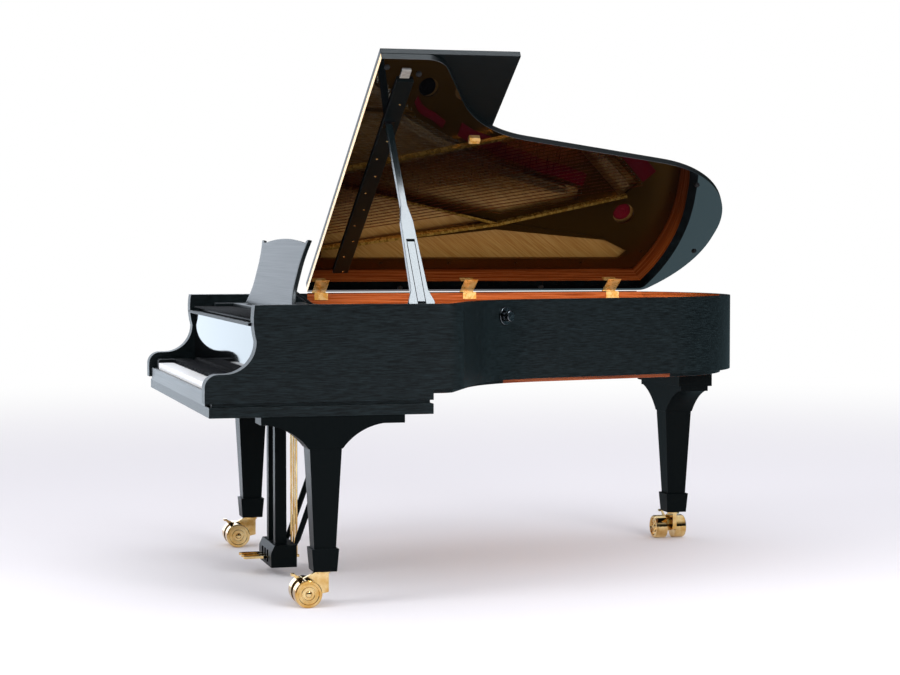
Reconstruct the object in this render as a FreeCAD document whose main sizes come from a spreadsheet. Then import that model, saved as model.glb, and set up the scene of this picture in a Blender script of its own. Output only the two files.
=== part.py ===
"""Grand piano with its lid propped open: case, lid, legs, lyre, keyboard, action, plate and strings."""
import FreeCAD, Part
import math
import os
import re
from types import SimpleNamespace

# Sizes in millimetres and angles in degrees. Places along the case ("..._at") run from the front of the
# key bed towards the tail, heights from the floor, and places across it from the middle, bass side negative.
DIMENSIONS = {
    # Case outline in plan
    "case_width": 1545, "case_length": 2227, "shoulder_at": 847, "shoulder_radius": 92,
    "waist_across": 1121, "waist_at": 1066, "waist_radius": 458, "tail_across": 844, "tail_radius": 492,
    "tail_flat": 196, "tail_back_radius": 592, "tail_drop": 161, "spine_radius": 42,
    # Rims and arms
    "rim_top": 1000, "rim_bottom": 714, "rim_step_at": 753, "outer_wall": 38, "inner_wall": 46,
    "inner_bottom": 699, "glue_gap": 0.3, "arm_wall": 62, "arm_bottom": 680, "arm_nose": 14,
    "arm_top_at": 152, "arm_bulge": 9, "arm_waist_at": 157, "arm_waist_height": 880, "scoop_radius": 105,
    "nose_radius": 45,
    # Key bed and the boards round the keys
    "bed_bottom": 633, "bed_top": 668, "bed_packing": 10, "slip_front": 4, "slip_depth": 14,
    "slip_top": 716, "block_top": 750, "block_front_at": 14, "block_back_at": 150,
    # Keys
    "key_end": 96.9, "key_gap": 1, "key_front_at": 12, "white_head": 50, "key_back_at": 430,
    "key_bottom": 700, "white_top": 738, "black_top": 750, "black_length": 92, "black_slope": 8,
    "balance_at": 232, "key_dip": 10,
    # Key frame and action
    "front_rail_top": 684, "bearing_width": 10, "seat_gap": 0.3, "hammer_pivot_at": 478,
    "hammer_pivot_height": 856, "hammer_shank": 122, "hammer_head": 49, "hammer_blow": 42, "strike_at": 600,
    "shank_depth": 7, "head_depth": 20, "action_rail": 24, "action_shift": 3,
    # Stringing
    "string_height": 906, "bass_lift": 18, "string_thickness": 1.6, "wound_thickness": 4,
    "agraffe_bass_at": 450, "agraffe_treble_at": 582, "string_clear": 2, "bass_clear": 2.567,
    "section_gap": 26, "break_gap": 9, "shortest_string": 54, "plain_to_tail": 1012,
    "bass_bridge_across": 427.5, "bass_bridge_to_tail": 277, "bass_break_across": 682.5,
    "bass_break_to_tail": 532, "tenor_lean": 3.5, "treble_lean": 1, "hitch_run": 72, "pin_row_at": 350,
    "pin_row_step": 32, "pin_size": 5.8, "pin_top": 932, "damper_at": 655, "damper_length": 32,
    "damper_height": 22, "damper_lift": 6,
    # Soundboard, bridges and beams
    "belly_at": 618, "belly_depth": 45, "board_bottom": 860, "board_thickness": 9, "bridge_width": 34,
    "rib_width": 24, "rib_depth": 20, "rib_angle": 38, "beam_width": 62, "beam_depth": 92,
    "beam_first": 216, "beam_step": 232,
    # Iron plate and pin block
    "plate_bottom": 886, "plate_thickness": 12, "plate_gap": 6, "plate_front_at": 292, "spine_flange": 46,
    "plate_bar_width": 22, "plate_bar_height": 26, "bar_clear": 4, "node_across": 257.5, "node_to_tail": 807,
    "node_size": 34, "bass_bar_across": 104.5, "tail_bar_across": 387.5, "tail_bar_to_tail": 267,
    "spine_bar_across": 182.5, "spine_bar_to_tail": 327, "spine_end_to_tail": 217, "tail_hole_across": 297.5,
    "tail_hole_to_tail": 262, "tail_hole_radius": 45, "panel_across": 842.5, "panel_hole_radius": 40,
    "panel_hole_step": 150, "block_depth": 40, "pin_block_back_at": 450,
    "bolt_width": 15, "bolt_head": 7,
    # Lid, flap, hinges and props
    "lid_angle": 32, "lid_thickness": 22, "lid_gap": 3, "lid_overhang": 5, "lid_front_at": 630,
    "flap_length": 500, "flap_gap": 2, "knuckle_radius": 4, "hinge_width": 56, "hinge_leaf": 90,
    "leaf_thickness": 2, "first_hinge_at": 679, "last_hinge_to_tail": 312, "batten_at": 736, "batten_width": 60,
    "batten_depth": 12, "batten_inset": 70, "socket_thickness": 3, "prop_at": 727, "prop_inset": 57.5,
    "prop_pivot_height": 985, "prop_lean": 37, "prop_thickness": 22, "prop_foot": 90, "prop_waist": 60,
    "prop_body": 44, "prop_body_length": 360, "prop_tip": 22, "prop_shoulder": 70, "short_prop": 250,
    "short_prop_width": 26, "short_prop_thickness": 10, "ledge_height": 20, "knob_radius": 20,
    "knob_length": 30, "rosette_radius": 32, "rosette_depth": 6, "knob_height": 943, "knob_turn": 4,
    # Fallboard
    "fall_pivot_at": 168, "fall_pivot_height": 762, "fall_height": 178, "fall_thickness": 18,
    "fall_lip": 25, "fall_lip_depth": 10, "fall_pin_radius": 3, "pin_reach": 8, "running_gap": 0.05,
    # Music desk
    "tray_bottom": 950, "tray_thickness": 18, "tray_front_at": 160, "tray_back_at": 600, "tray_gap": 2,
    "desk_at": 343, "desk_side_gap": 267.5, "desk_draw_in": 32.5, "desk_height": 240, "desk_ear": 36,
    "desk_notch": 12, "desk_arch": 20, "desk_thickness": 14, "desk_lean": 14.5, "strut_up": 70,
    "strut_inset": 185, "strut_width": 60, "strut_thickness": 8, "strut_slope": 37,
    # Legs and casters
    "leg_inset": 58.5, "leg_at": 387, "leg_top": 114, "leg_neck": 108, "leg_foot": 74, "leg_shoulder": 525,
    "leg_plate_front": 216, "leg_plate_back": 268, "leg_plate_bottom": 606, "bracket_inset": 21,
    "flare_in": 55, "flare_up": 51, "boot_top": 191, "boot_bottom": 115, "boot_wide": 92, "boot_narrow": 80,
    "rear_leg_across": 342.5, "rear_leg_to_tail": 155, "rear_plate_length": 450, "rear_plate_edge": 12,
    "rear_plate_step": 20, "rear_plate_bottom": 618, "wheel_radius": 46, "wheel_width": 42, "wheel_gap": 34,
    "wheel_recess": 7, "wheel_rim": 13, "wheel_hub": 20, "caster_trail": 60, "stem_radius": 12,
    "stem_length": 36, "axle_radius": 8, "fork_thickness": 16, "fork_clear": 3, "lever_thickness": 5.5,
    "lever_tab": 26, "lever_pin_radius": 3, "lever_reach": 35, "lever_rise": 24,
    # Lyre and pedals
    "lyre_post_across": 67, "lyre_post_width": 36, "lyre_post_depth": 42, "lyre_post_at": 340,
    "lyre_head_bottom": 605, "lyre_width": 250, "lyre_front_at": 318, "lyre_back_at": 412,
    "lyre_bottom": 36, "lyre_top": 116, "pedal_pitch": 50, "pedal_width": 22, "pedal_thickness": 9,
    "pedal_height": 62, "pedal_tip_at": 230, "pedal_pivot_at": 375, "pedal_end_at": 434,
    "pedal_hub": 9, "pedal_pin_radius": 4, "slot_width": 30, "slot_bottom": 46, "slot_top": 92,
    "rod_at": 425, "rod_radius": 4, "rod_top": 625, "brace_width": 16, "brace_foot": 88, "brace_at": 596,
}
NOTES = "c c_sharp d d_sharp e f f_sharp g g_sharp a a_sharp b".split()
FIRST_NOTE = 9
NOTE_COUNT = 88
WHITE_COUNT = 52
SINGLE_STRINGS = 10
BASS_NOTES = 20
DAMPED_NOTES = 68
HINGE_COUNT = 3
BEAM_COUNT = 4
POST_COUNT = 18
TREBLE_BREAKS = (42, 61, 75)
SHARP_EDGE = 2

doc = FreeCAD.newDocument("grand_piano")
sheet = doc.addObject("Spreadsheet::Sheet", "dims")
for row, (alias, value) in enumerate(DIMENSIONS.items(), start=1):
    sheet.set(f"A{row}", alias)
    sheet.set(f"B{row}", str(value))
    sheet.setAlias(f"B{row}", alias)
doc.recompute()
D = SimpleNamespace(**{alias: float(sheet.get(alias)) for alias in DIMENSIONS})
HALF = D.case_width / 2
V = FreeCAD.Vector
pieces = []

# Sizes that follow from the driving ones: the keys fill the well between the arms, the strings of a note fill
# its share of an octave, and the longest of them and the hinges reach towards the tail.
D.white_pitch = (D.case_width - 2 * D.arm_wall - 2 * D.key_end) / WHITE_COUNT
D.note_pitch = D.white_pitch * 7 / 12
D.string_spacing = (D.note_pitch - D.string_clear) / 3
D.bass_spacing = (D.note_pitch - D.bass_clear) / 2
D.bass_string_height = D.string_height + D.bass_lift
D.longest_plain = D.case_length - D.plain_to_tail
D.hinge_step = (D.case_length - D.first_hinge_at - D.last_hinge_to_tail) / (HINGE_COUNT - 1)
D.prop_across = HALF - D.prop_inset
D.leg_across = HALF - D.leg_inset
PITCH = f"((case_width - 2 * arm_wall - 2 * key_end) / {WHITE_COUNT})"


def from_tail(name):
    """Place in plan of what is measured in from the spine and forward from the tail."""
    return V(getattr(D, f"{name}_across") - HALF, D.case_length - getattr(D, f"{name}_to_tail"), 0)


# The whole piano is centred on its own length: the front of the key bed lies this far from the origin.
HOME_Y = "(arm_nose - case_length - lid_overhang) / 2"
HOME = FreeCAD.Placement(V(0, (D.arm_nose - D.case_length - D.lid_overhang) / 2, 0), FreeCAD.Rotation())


def turned(axis, angle, pivot):
    """A turn by an angle in degrees about an axis through a pivot."""
    return FreeCAD.Placement(V(), FreeCAD.Rotation(V(*axis), angle), V(*pivot))


def bind(piece, prop, formula):
    """Tie a property to the sheet: each word of the formula is the name of a size."""
    piece.setExpression(prop, re.sub(r"[a-z]\w*", r"dims.\g<0>", formula))


def finish(piece, label, place=None):
    """Name a finished piece and stand it where it belongs."""
    piece.Label = label
    if place is None:
        bind(piece, "Placement.Base.y", HOME_Y)
    else:
        piece.Placement = HOME.multiply(place)
    pieces.append(piece)
    return piece


def rounded(corners):
    """Closed outline of lines and arcs: each corner is x, y and the radius that rounds it."""
    points = [V(x, y, 0) for x, y, _ in corners]
    joins = []
    for index, (_, _, radius) in enumerate(corners):
        corner = points[index]
        back = (points[index - 1] - corner).normalize()
        ahead = (points[(index + 1) % len(points)] - corner).normalize()
        if radius == 0:
            joins.append((corner, None, corner))
            continue
        half = back.getAngle(ahead) / 2
        reach = radius / math.tan(half)
        bend = corner + (back + ahead).normalize() * (radius / math.sin(half) - radius)
        joins.append((corner + back * reach, bend, corner + ahead * reach))
    edges = []
    for index, (start, bend, end) in enumerate(joins):
        if bend is not None:
            edges.append(Part.Arc(start, bend, end))
        following = joins[(index + 1) % len(joins)][0]
        if end.distanceToPoint(following) > D.glue_gap:
            edges.append(Part.LineSegment(end, following))
    return edges


def polygon(*points):
    """Closed outline of straight lines through points in a plane."""
    return rounded([(x, y, 0) for x, y in points])


def rectangle(left, low, right, high):
    return polygon((left, low), (right, low), (right, high), (left, high))


def circle(x, y, radius):
    return [Part.Circle(V(x, y, 0), V(0, 0, 1), radius)]


def case_corners(offset, front):
    """Corners of the case in plan, each side moved outwards by an offset, cut square at the front."""
    tail = D.case_length
    plain = [
        (-HALF, 0, 0), (HALF, 0, 0), (HALF, D.shoulder_at, D.shoulder_radius),
        (D.waist_across - HALF, D.waist_at, -D.waist_radius), (D.tail_across - HALF, tail, D.tail_radius),
        (D.tail_flat - HALF, tail, D.tail_back_radius), (-HALF, tail - D.tail_drop, D.spine_radius),
    ]
    sides = []
    for index, (x, y, _) in enumerate(plain):
        end_x, end_y, _ = plain[(index + 1) % len(plain)]
        along = V(end_x - x, end_y - y, 0).normalize()
        sides.append((V(x + along.y * offset, y - along.x * offset, 0), along))
    sides[0] = (V(0, front, 0), V(1, 0, 0))
    corners = []
    for index, (_, _, radius) in enumerate(plain):
        (first, along), (second, ahead) = sides[index - 1], sides[index]
        reach = (second - first).cross(ahead).z / along.cross(ahead).z
        corner = first + along * reach
        size = -radius - offset if radius < 0 else max(radius + offset, SHARP_EDGE)
        corners.append((corner.x, corner.y, size if radius else 0))
    return corners


def case_plan(offset, front):
    return rounded(case_corners(offset, front))


def new_body(label):
    return doc.addObject("PartDesign::Body", label)


def draw(body, role, edges, lift):
    """A sketch on one of the body's own planes, lifted along the plane's normal."""
    plane = next(part for part in body.Origin.OriginFeatures if part.Role == role)
    sketch = body.newObject("Sketcher::SketchObject", f"{body.Name}_sketch")
    sketch.AttachmentSupport = [(plane, "")]
    sketch.MapMode = "FlatFace"
    bind(sketch, "AttachmentOffset.Base.z", lift)
    sketch.addGeometry(edges, False)
    return sketch


def pad(body, role, edges, length, lift="0"):
    feature = body.newObject("PartDesign::Pad", f"{body.Name}_pad")
    feature.Profile = draw(body, role, edges, lift)
    bind(feature, "Length", length)
    return feature


def pocket(body, role, edges, length, lift="0"):
    """A cut that runs along the plane's normal from where the sketch is lifted to."""
    feature = body.newObject("PartDesign::Pocket", f"{body.Name}_pocket")
    feature.Profile = draw(body, role, edges, lift)
    feature.Reversed = True
    bind(feature, "Length", length)
    return feature


def loft(body, lower, lower_lift, upper, upper_lift):
    """A tapered block between two square sections at two heights."""
    feature = body.newObject("PartDesign::AdditiveLoft", f"{body.Name}_loft")
    feature.Profile = draw(body, "XY_Plane", lower, lower_lift)
    feature.Sections = [draw(body, "XY_Plane", upper, upper_lift)]
    feature.Ruled = True
    return feature


def revolve(body, edges, axis):
    """A turned form: a profile in the XY plane about that sketch's own axis."""
    feature = body.newObject("PartDesign::Revolution", f"{body.Name}_turned")
    feature.Profile = draw(body, "XY_Plane", edges, "0")
    feature.ReferenceAxis = (feature.Profile[0], [axis])
    feature.Angle = 360
    return feature


def block(name, size, corner):
    """A rectangular piece from formulas for its three sizes and its lowest corner."""
    box = doc.addObject("Part::Box", name)
    for prop, formula in zip(("Length", "Width", "Height"), size):
        bind(box, prop, formula)
    for axis, formula in zip("xyz", corner):
        bind(box, f"Placement.Base.{axis}", formula)
    return box


def group(label, members):
    """Several separate solids of one kind that share a name."""
    compound = doc.addObject("Part::Compound", label)
    compound.Links = members
    return finish(compound, label)


def set_solids(label, solids, place=None):
    """Repeated small solids, worked out from the sheet's sizes."""
    feature = doc.addObject("Part::Feature", label)
    feature.Shape = Part.makeCompound(solids)
    return finish(feature, label, place or FreeCAD.Placement())


def prism(points, run):
    """A solid of a flat outline through points, drawn out along a vector."""
    return Part.Face(Part.makePolygon(points + points[:1])).extrude(run)


def slender(start, end, thickness, sides):
    """A thin straight solid between two points with a regular section."""
    run = end - start
    across = run.cross(V(0, 0, 1))
    across = across.normalize() if across.Length > D.glue_gap else V(1, 0, 0)
    upright = run.cross(across).normalize()
    ring = []
    for step in range(sides):
        angle = 2 * math.pi * (step + 0.5) / sides
        ring.append(start + (across * math.cos(angle) + upright * math.sin(angle)) * (thickness / 2))
    return prism(ring, run)


# Case

def make_outer_rim():
    """Bent rim and its two arms, scooped at the front, with ledges for the desk tray and the prop."""
    body = new_body("outer_rim")
    nose, opening = -D.arm_nose, D.arm_nose
    height = "rim_top - arm_bottom"
    pad(body, "XY_Plane", case_plan(0, nose), height, "arm_bottom")
    pocket(body, "XY_Plane", case_plan(-D.outer_wall, nose - opening), height, "arm_bottom")
    for side in (-1, 1):
        inner, outer = side * (HALF - D.arm_wall), side * (HALF - D.outer_wall / 2)
        pad(body, "XY_Plane", rectangle(inner, nose, outer, D.belly_at - D.glue_gap), height, "arm_bottom")
    shelf = D.arm_waist_height - D.scoop_radius
    scoop_at, above = D.arm_waist_at - D.scoop_radius, D.rim_top + opening
    slant = math.sqrt(0.5)
    middle = (D.rim_top + D.arm_waist_height) / 2
    top, waist = V(D.arm_top_at, D.rim_top, 0), V(D.arm_waist_at, D.arm_waist_height, 0)
    scoop_end, nose_top = V(scoop_at, shelf, 0), V(nose + D.nose_radius, shelf, 0)
    nose_end = V(nose, shelf - D.nose_radius, 0)
    scoop_middle = V(scoop_at + D.scoop_radius * slant, D.arm_waist_height - D.scoop_radius * slant, 0)
    nose_middle = nose_top + V(-D.nose_radius * slant, D.nose_radius * (slant - 1), 0)
    outside = [V(nose - opening, shelf - D.nose_radius, 0), V(nose - opening, above, 0), V(D.arm_top_at, above, 0)]
    front = [
        Part.Arc(top, V(D.arm_waist_at - D.arm_bulge, middle, 0), waist),
        Part.Arc(waist, scoop_middle, scoop_end), Part.LineSegment(scoop_end, nose_top),
        Part.Arc(nose_top, nose_middle, nose_end), Part.LineSegment(nose_end, outside[0]),
        Part.LineSegment(outside[0], outside[1]), Part.LineSegment(outside[1], outside[2]),
        Part.LineSegment(outside[2], top),
    ]
    pocket(body, "YZ_Plane", front, "2 * case_width", "-case_width")
    step = rectangle(D.rim_step_at, D.arm_bottom - opening, 2 * D.case_length, D.rim_bottom)
    pocket(body, "YZ_Plane", step, "2 * case_width", "-case_width")
    for side in (-1, 1):
        inner, outer = side * (HALF - D.arm_wall - D.pin_reach), side * (HALF - D.arm_wall + D.pin_reach)
        ledge = rectangle(inner, D.fall_pivot_at + 2 * D.fall_thickness, outer, D.tray_back_at)
        pad(body, "XY_Plane", ledge, "ledge_height - seat_gap", "tray_bottom - ledge_height")
    foot = (D.prop_foot + D.prop_thickness) / 2
    prop_ledge = rectangle(D.prop_across - D.prop_thickness, D.prop_at - foot, HALF - D.outer_wall / 2, D.prop_at + foot)
    pad(body, "XY_Plane", prop_ledge, "ledge_height",
        "prop_pivot_height - prop_thickness / 2 - seat_gap - ledge_height")
    hole = circle(D.fall_pivot_at, D.fall_pivot_height, D.fall_pin_radius + D.running_gap)
    pocket(body, "YZ_Plane", hole, "case_width - 2 * arm_wall + 2 * pin_reach + 2 * glue_gap",
           "arm_wall - case_width / 2 - pin_reach - glue_gap")
    finish(body, "outer_rim")


def make_inner_rim():
    body = new_body("inner_rim")
    outside = D.outer_wall + D.glue_gap
    pad(body, "XY_Plane", case_plan(-outside, D.belly_at), "board_bottom - inner_bottom", "inner_bottom")
    hollow = case_plan(-outside - D.inner_wall, D.belly_at - D.belly_depth)
    pocket(body, "XY_Plane", hollow, "board_bottom - inner_bottom", "inner_bottom")
    finish(body, "inner_rim")


def make_key_bed():
    """Thick board under the keys, with packing strips that carry the arms."""
    body = new_body("key_bed")
    pad(body, "XY_Plane", rectangle(-HALF, 0, HALF, D.rim_step_at), "bed_top - bed_bottom", "bed_bottom")
    for side in (-1, 1):
        inner, outer = side * (HALF - D.arm_wall), side * (HALF - D.bed_packing)
        strip = rectangle(inner, D.bed_packing, outer, D.rim_step_at - D.bed_packing)
        pad(body, "XY_Plane", strip, "arm_bottom - bed_top", "bed_top")
    finish(body, "key_bed")


def make_key_boards():
    """Key slip in front of the keys, and a block at each end of them."""
    well = "(case_width - 2 * arm_wall - 2 * glue_gap)"
    slip = block("key_slip", (well, "slip_depth", "slip_top - bed_top"),
                 (f"-{well} / 2", f"-slip_front + {HOME_Y}", "bed_top"))
    slip.Label = "key_slip"
    pieces.append(slip)
    blocks = []
    for name, side in (("bass_block", -1), ("treble_block", 1)):
        body = new_body(name)
        low, high = D.bed_top, D.block_top
        profile = rounded([
            (D.block_front_at, low, 0), (D.block_back_at, low, 0), (D.block_back_at, high, 0),
            (D.block_front_at, high, D.key_dip),
        ])
        keys_end = "(case_width / 2 - arm_wall - key_end + 2 * key_dip)"
        lift = keys_end if side > 0 else "arm_wall + glue_gap - case_width / 2"
        pad(body, "YZ_Plane", profile, "key_end - 2 * key_dip - glue_gap", lift)
        blocks.append(body)
    group("key_blocks", blocks)


def inner_region(front, low, high):
    """Everything inside the inner rim between two heights, to trim what lies in it."""
    body = new_body("inner_region")
    outside = D.outer_wall + D.inner_wall + 2 * D.glue_gap
    pad(body, "XY_Plane", case_plan(-outside, front), f"{high} - ({low})", low)
    return body


def trimmed(label, bars, region):
    bundle = doc.addObject("Part::Compound", f"{label}_bars")
    bundle.Links = bars
    cut = doc.addObject("Part::Common", label)
    cut.Base = bundle
    cut.Tool = region
    finish(cut, label)


def make_case_beams():
    """Belly rail under the soundboard's front edge, and beams from it to the tail."""
    high = "board_bottom - glue_gap"
    bars = [block("belly_rail", ("case_width", "belly_depth", "board_bottom - inner_bottom - glue_gap"),
                  ("-case_width / 2", "belly_at", "inner_bottom"))]
    for index in range(BEAM_COUNT):
        across = f"beam_first + {index} * beam_step - case_width / 2"
        bars.append(block(f"beam_{index + 1}", ("beam_width", "case_length", "beam_depth"),
                          (across, "belly_at + belly_depth", "inner_bottom")))
    trimmed("case_beams", bars, inner_region(D.belly_at, "inner_bottom", high))


def make_soundboard():
    body = new_body("soundboard")
    plan = case_plan(-D.outer_wall - D.glue_gap, D.belly_at)
    pad(body, "XY_Plane", plan, "board_thickness", "board_bottom")
    finish(body, "soundboard")


def make_soundboard_ribs():
    """Slanted ribs glued under the soundboard, ending at the inner rim."""
    front, bars = D.belly_at + D.belly_depth + D.glue_gap, []
    pitch = (D.case_length - front) / 10
    for index in range(13):
        rib = block(f"rib_{index + 1}", ("2 * case_width", "rib_width", "rib_depth"),
                    ("-case_width", "0", "board_bottom - rib_depth"))
        middle = V(0, front + (index - 1) * pitch, D.board_bottom - D.rib_depth)
        turn = FreeCAD.Rotation(V(0, 0, 1), D.rib_angle)
        for axis in "xyz":
            rib.setExpression(f"Placement.Base.{axis}", None)
        rib.Placement = FreeCAD.Placement(middle - turn.multVec(V(D.case_width, D.rib_width / 2, 0)), turn)
        bars.append(rib)
    region = inner_region(front, "board_bottom - rib_depth", "board_bottom")
    trimmed("soundboard_ribs", bars, region)


# Stringing: where each note's strings start at the agraffes and where they cross the bridge

def key_places():
    """For every note: its class, the middle of its stick, and the edges of its white head if it has one."""
    places, white = [], 0
    for note in range(NOTE_COUNT):
        pitch_class = (FIRST_NOTE + note) % 12
        upper = pitch_class >= 5
        slot, slots, heads = (pitch_class - 5, 7, 4) if upper else (pitch_class, 5, 3)
        stick = heads * D.white_pitch / slots
        is_white = (slot % 2 == 0)
        whites_before = slot // 2 if is_white else (slot + 1) // 2
        section = (white - whites_before - WHITE_COUNT / 2) * D.white_pitch
        middle = section + (slot + 0.5) * stick
        head = section + whites_before * D.white_pitch if is_white else None
        places.append((pitch_class, middle, stick, head))
        white += is_white
    return places


KEYS = key_places()


def section_shift(note):
    """How far a note's strings stand aside from its key, so that the plate's bars fit between sections."""
    starts = [0, BASS_NOTES] + [last + 1 for last in TREBLE_BREAKS] + [NOTE_COUNT]
    room = [0, D.section_gap] + [D.break_gap] * len(TREBLE_BREAKS) + [0]
    index = sum(note >= start for start in starts) - 1
    share = (note - starts[index]) / (starts[index + 1] - 1 - starts[index])
    return room[index] * (1 - share) - room[index + 1] * share


def agraffe(note):
    """Front end of a note's speaking length, on the slanted agraffe line."""
    share = note / (NOTE_COUNT - 1)
    across = KEYS[note][1] + section_shift(note)
    return V(across, D.agraffe_bass_at + share * (D.agraffe_treble_at - D.agraffe_bass_at), 0)


def string_across(note, at):
    """How far across the case a note's strings are at a place along it."""
    start, end = agraffe(note), bridge_point(note)
    return start.x + (end.x - start.x) * (at - start.y) / (end.y - start.y)


def bridge_point(note):
    """Where a note's strings cross the bass bridge or the long treble bridge."""
    if note < BASS_NOTES:
        low, high = from_tail("bass_bridge"), from_tail("bass_break")
        return low + (high - low) * (note / (BASS_NOTES - 1))
    share = (NOTE_COUNT - 1 - note) / (NOTE_COUNT - 1 - BASS_NOTES)
    length = D.shortest_string * (D.longest_plain / D.shortest_string) ** share
    lean = math.radians(D.treble_lean + share * (D.tenor_lean - D.treble_lean))
    return agraffe(note) + V(-math.sin(lean), math.cos(lean), 0) * length


def hitch_point(note):
    start, bridge = agraffe(note), bridge_point(note)
    return bridge + (bridge - start).normalize() * D.hitch_run


def string_lines(note):
    """One line for each string of a note: its tuning pin and its hitch end, in plan."""
    count = 1 if note < SINGLE_STRINGS else 2 if note < BASS_NOTES else 3
    start, end = agraffe(note), hitch_point(note)
    slope = (end.x - start.x) / (end.y - start.y)
    lines = []
    for string in range(count):
        spacing = D.bass_spacing if note < BASS_NOTES else D.string_spacing
        shift = V((string - (count - 1) / 2) * spacing, 0, 0)
        row = D.pin_row_at + string * D.pin_row_step + (note % 2) * D.pin_row_step / 4
        pin = V(start.x + (row - start.y) * slope, row, 0) + shift
        lines.append((pin, end + shift))
    return lines


def make_strings():
    for label, notes, height, thickness in (
        ("wound_strings", range(BASS_NOTES), D.bass_string_height, D.wound_thickness),
        ("plain_strings", range(BASS_NOTES, NOTE_COUNT), D.string_height, D.string_thickness),
    ):
        solids = []
        for note in notes:
            for pin, end in string_lines(note):
                away = (end - pin).normalize() * (D.pin_size / 2 + D.glue_gap)
                lift = V(0, 0, height)
                solids.append(slender(pin + away + lift, end + lift, thickness, 3))
        set_solids(label, solids)


def make_tuning_pins():
    solids = []
    base, half = D.plate_bottom + D.plate_thickness, D.pin_size / 2
    for note in range(NOTE_COUNT):
        for pin, _ in string_lines(note):
            corner = pin + V(-half, -half, base)
            solids.append(Part.makeBox(D.pin_size, D.pin_size, D.pin_top - base, corner))
    set_solids("tuning_pins", solids)


def bridge_solid(notes, top):
    """A curved bar along the points where notes cross it."""
    line = [bridge_point(note) for note in notes]
    sides = ([], [])
    for index, point in enumerate(line):
        along = line[min(index + 1, len(line) - 1)] - line[max(index - 1, 0)]
        across = V(along.y, -along.x, 0).normalize() * (D.bridge_width / 2)
        sides[0].append(point + across)
        sides[1].append(point - across)
    outline = [point + V(0, 0, D.board_bottom + D.board_thickness) for point in sides[0] + sides[1][::-1]]
    return prism(outline, V(0, 0, top - D.board_bottom - D.board_thickness))


def make_bridges():
    """Bass bridge, and the long bridge in sections that pass between the plate's bars."""
    solids = [bridge_solid([0, BASS_NOTES - 1], D.bass_string_height - D.wound_thickness / 2 - D.glue_gap)]
    starts = [BASS_NOTES] + [note + 2 for note in TREBLE_BREAKS]
    ends = [note - 1 for note in TREBLE_BREAKS] + [NOTE_COUNT - 1]
    for start, end in zip(starts, ends):
        line = list(range(start, end, 5)) + [end]
        solids.append(bridge_solid(line, D.string_height - D.string_thickness / 2 - D.glue_gap))
    set_solids("bridges", solids)


def make_iron_plate():
    """Cast plate: openings over the soundboard, bars that meet at a node, casting holes and bolted posts."""
    body = new_body("iron_plate")
    inset = D.outer_wall + D.plate_gap
    pad(body, "XY_Plane", case_plan(-inset, D.plate_front_at), "plate_thickness", "plate_bottom")
    arm_clear = HALF - D.arm_wall - D.plate_gap
    for side in (-1, 1):
        notch = rectangle(side * arm_clear, 0, side * D.case_width, D.belly_at)
        pocket(body, "XY_Plane", notch, "plate_thickness", "plate_bottom")
    for opening in plate_openings(-HALF + inset + D.spine_flange):
        pocket(body, "XY_Plane", flat(opening), "plate_thickness", "plate_bottom")
    tail_hole = from_tail("tail_hole")
    holes = [(tail_hole.x, tail_hole.y, D.tail_hole_radius)]
    for index in range(4):
        at = D.waist_at + index * D.panel_hole_step
        holes.append((D.panel_across - HALF - index * D.bolt_width, at, D.panel_hole_radius))
    for x, y, radius in holes:
        pocket(body, "XY_Plane", circle(x, y, radius), "plate_thickness", "plate_bottom")
    plate_bars(body)
    posts = []
    edge = case_plan(-inset - D.inner_wall / 2, D.belly_at + D.belly_depth)
    around = Part.Wire(Part.__sortEdges__([side.toShape() for side in edge]))
    for spot in around.discretize(Number=POST_COUNT + 1)[:-1]:
        if abs(spot.y - D.belly_at) > 2 * D.belly_depth:
            posts += hexagon(spot.x, spot.y, D.bolt_width / 2)
    foot = "board_bottom + board_thickness + seat_gap"
    pad(body, "XY_Plane", posts, f"plate_bottom + plate_thickness + bolt_head - ({foot})", foot)
    finish(body, "iron_plate")


def flat(points):
    return polygon(*[(point.x, point.y) for point in points])


def break_line(note):
    """Front and hitch ends of the bar that stands between a note and the next."""
    return (agraffe(note) + agraffe(note + 1)) * 0.5, (hitch_point(note) + hitch_point(note + 1)) * 0.5


def plate_marks():
    """Where the bars of the bass side start and end."""
    bass_start, _ = break_line(BASS_NOTES - 1)
    bass_hitch = hitch_point(BASS_NOTES - 1)
    turn_at = D.strike_at + 0.9 * D.head_depth
    turn_across = (string_across(BASS_NOTES - 1, turn_at) + string_across(BASS_NOTES, turn_at)) / 2
    return SimpleNamespace(
        node=from_tail("node"), tail=from_tail("tail_bar"), spine=from_tail("spine_bar"),
        left=V(D.bass_bar_across - HALF, D.agraffe_bass_at, 0), bass_start=bass_start,
        turn=V(turn_across, turn_at, 0), bass_end=bass_hitch + V(D.bridge_width, 0, 0))


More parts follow.
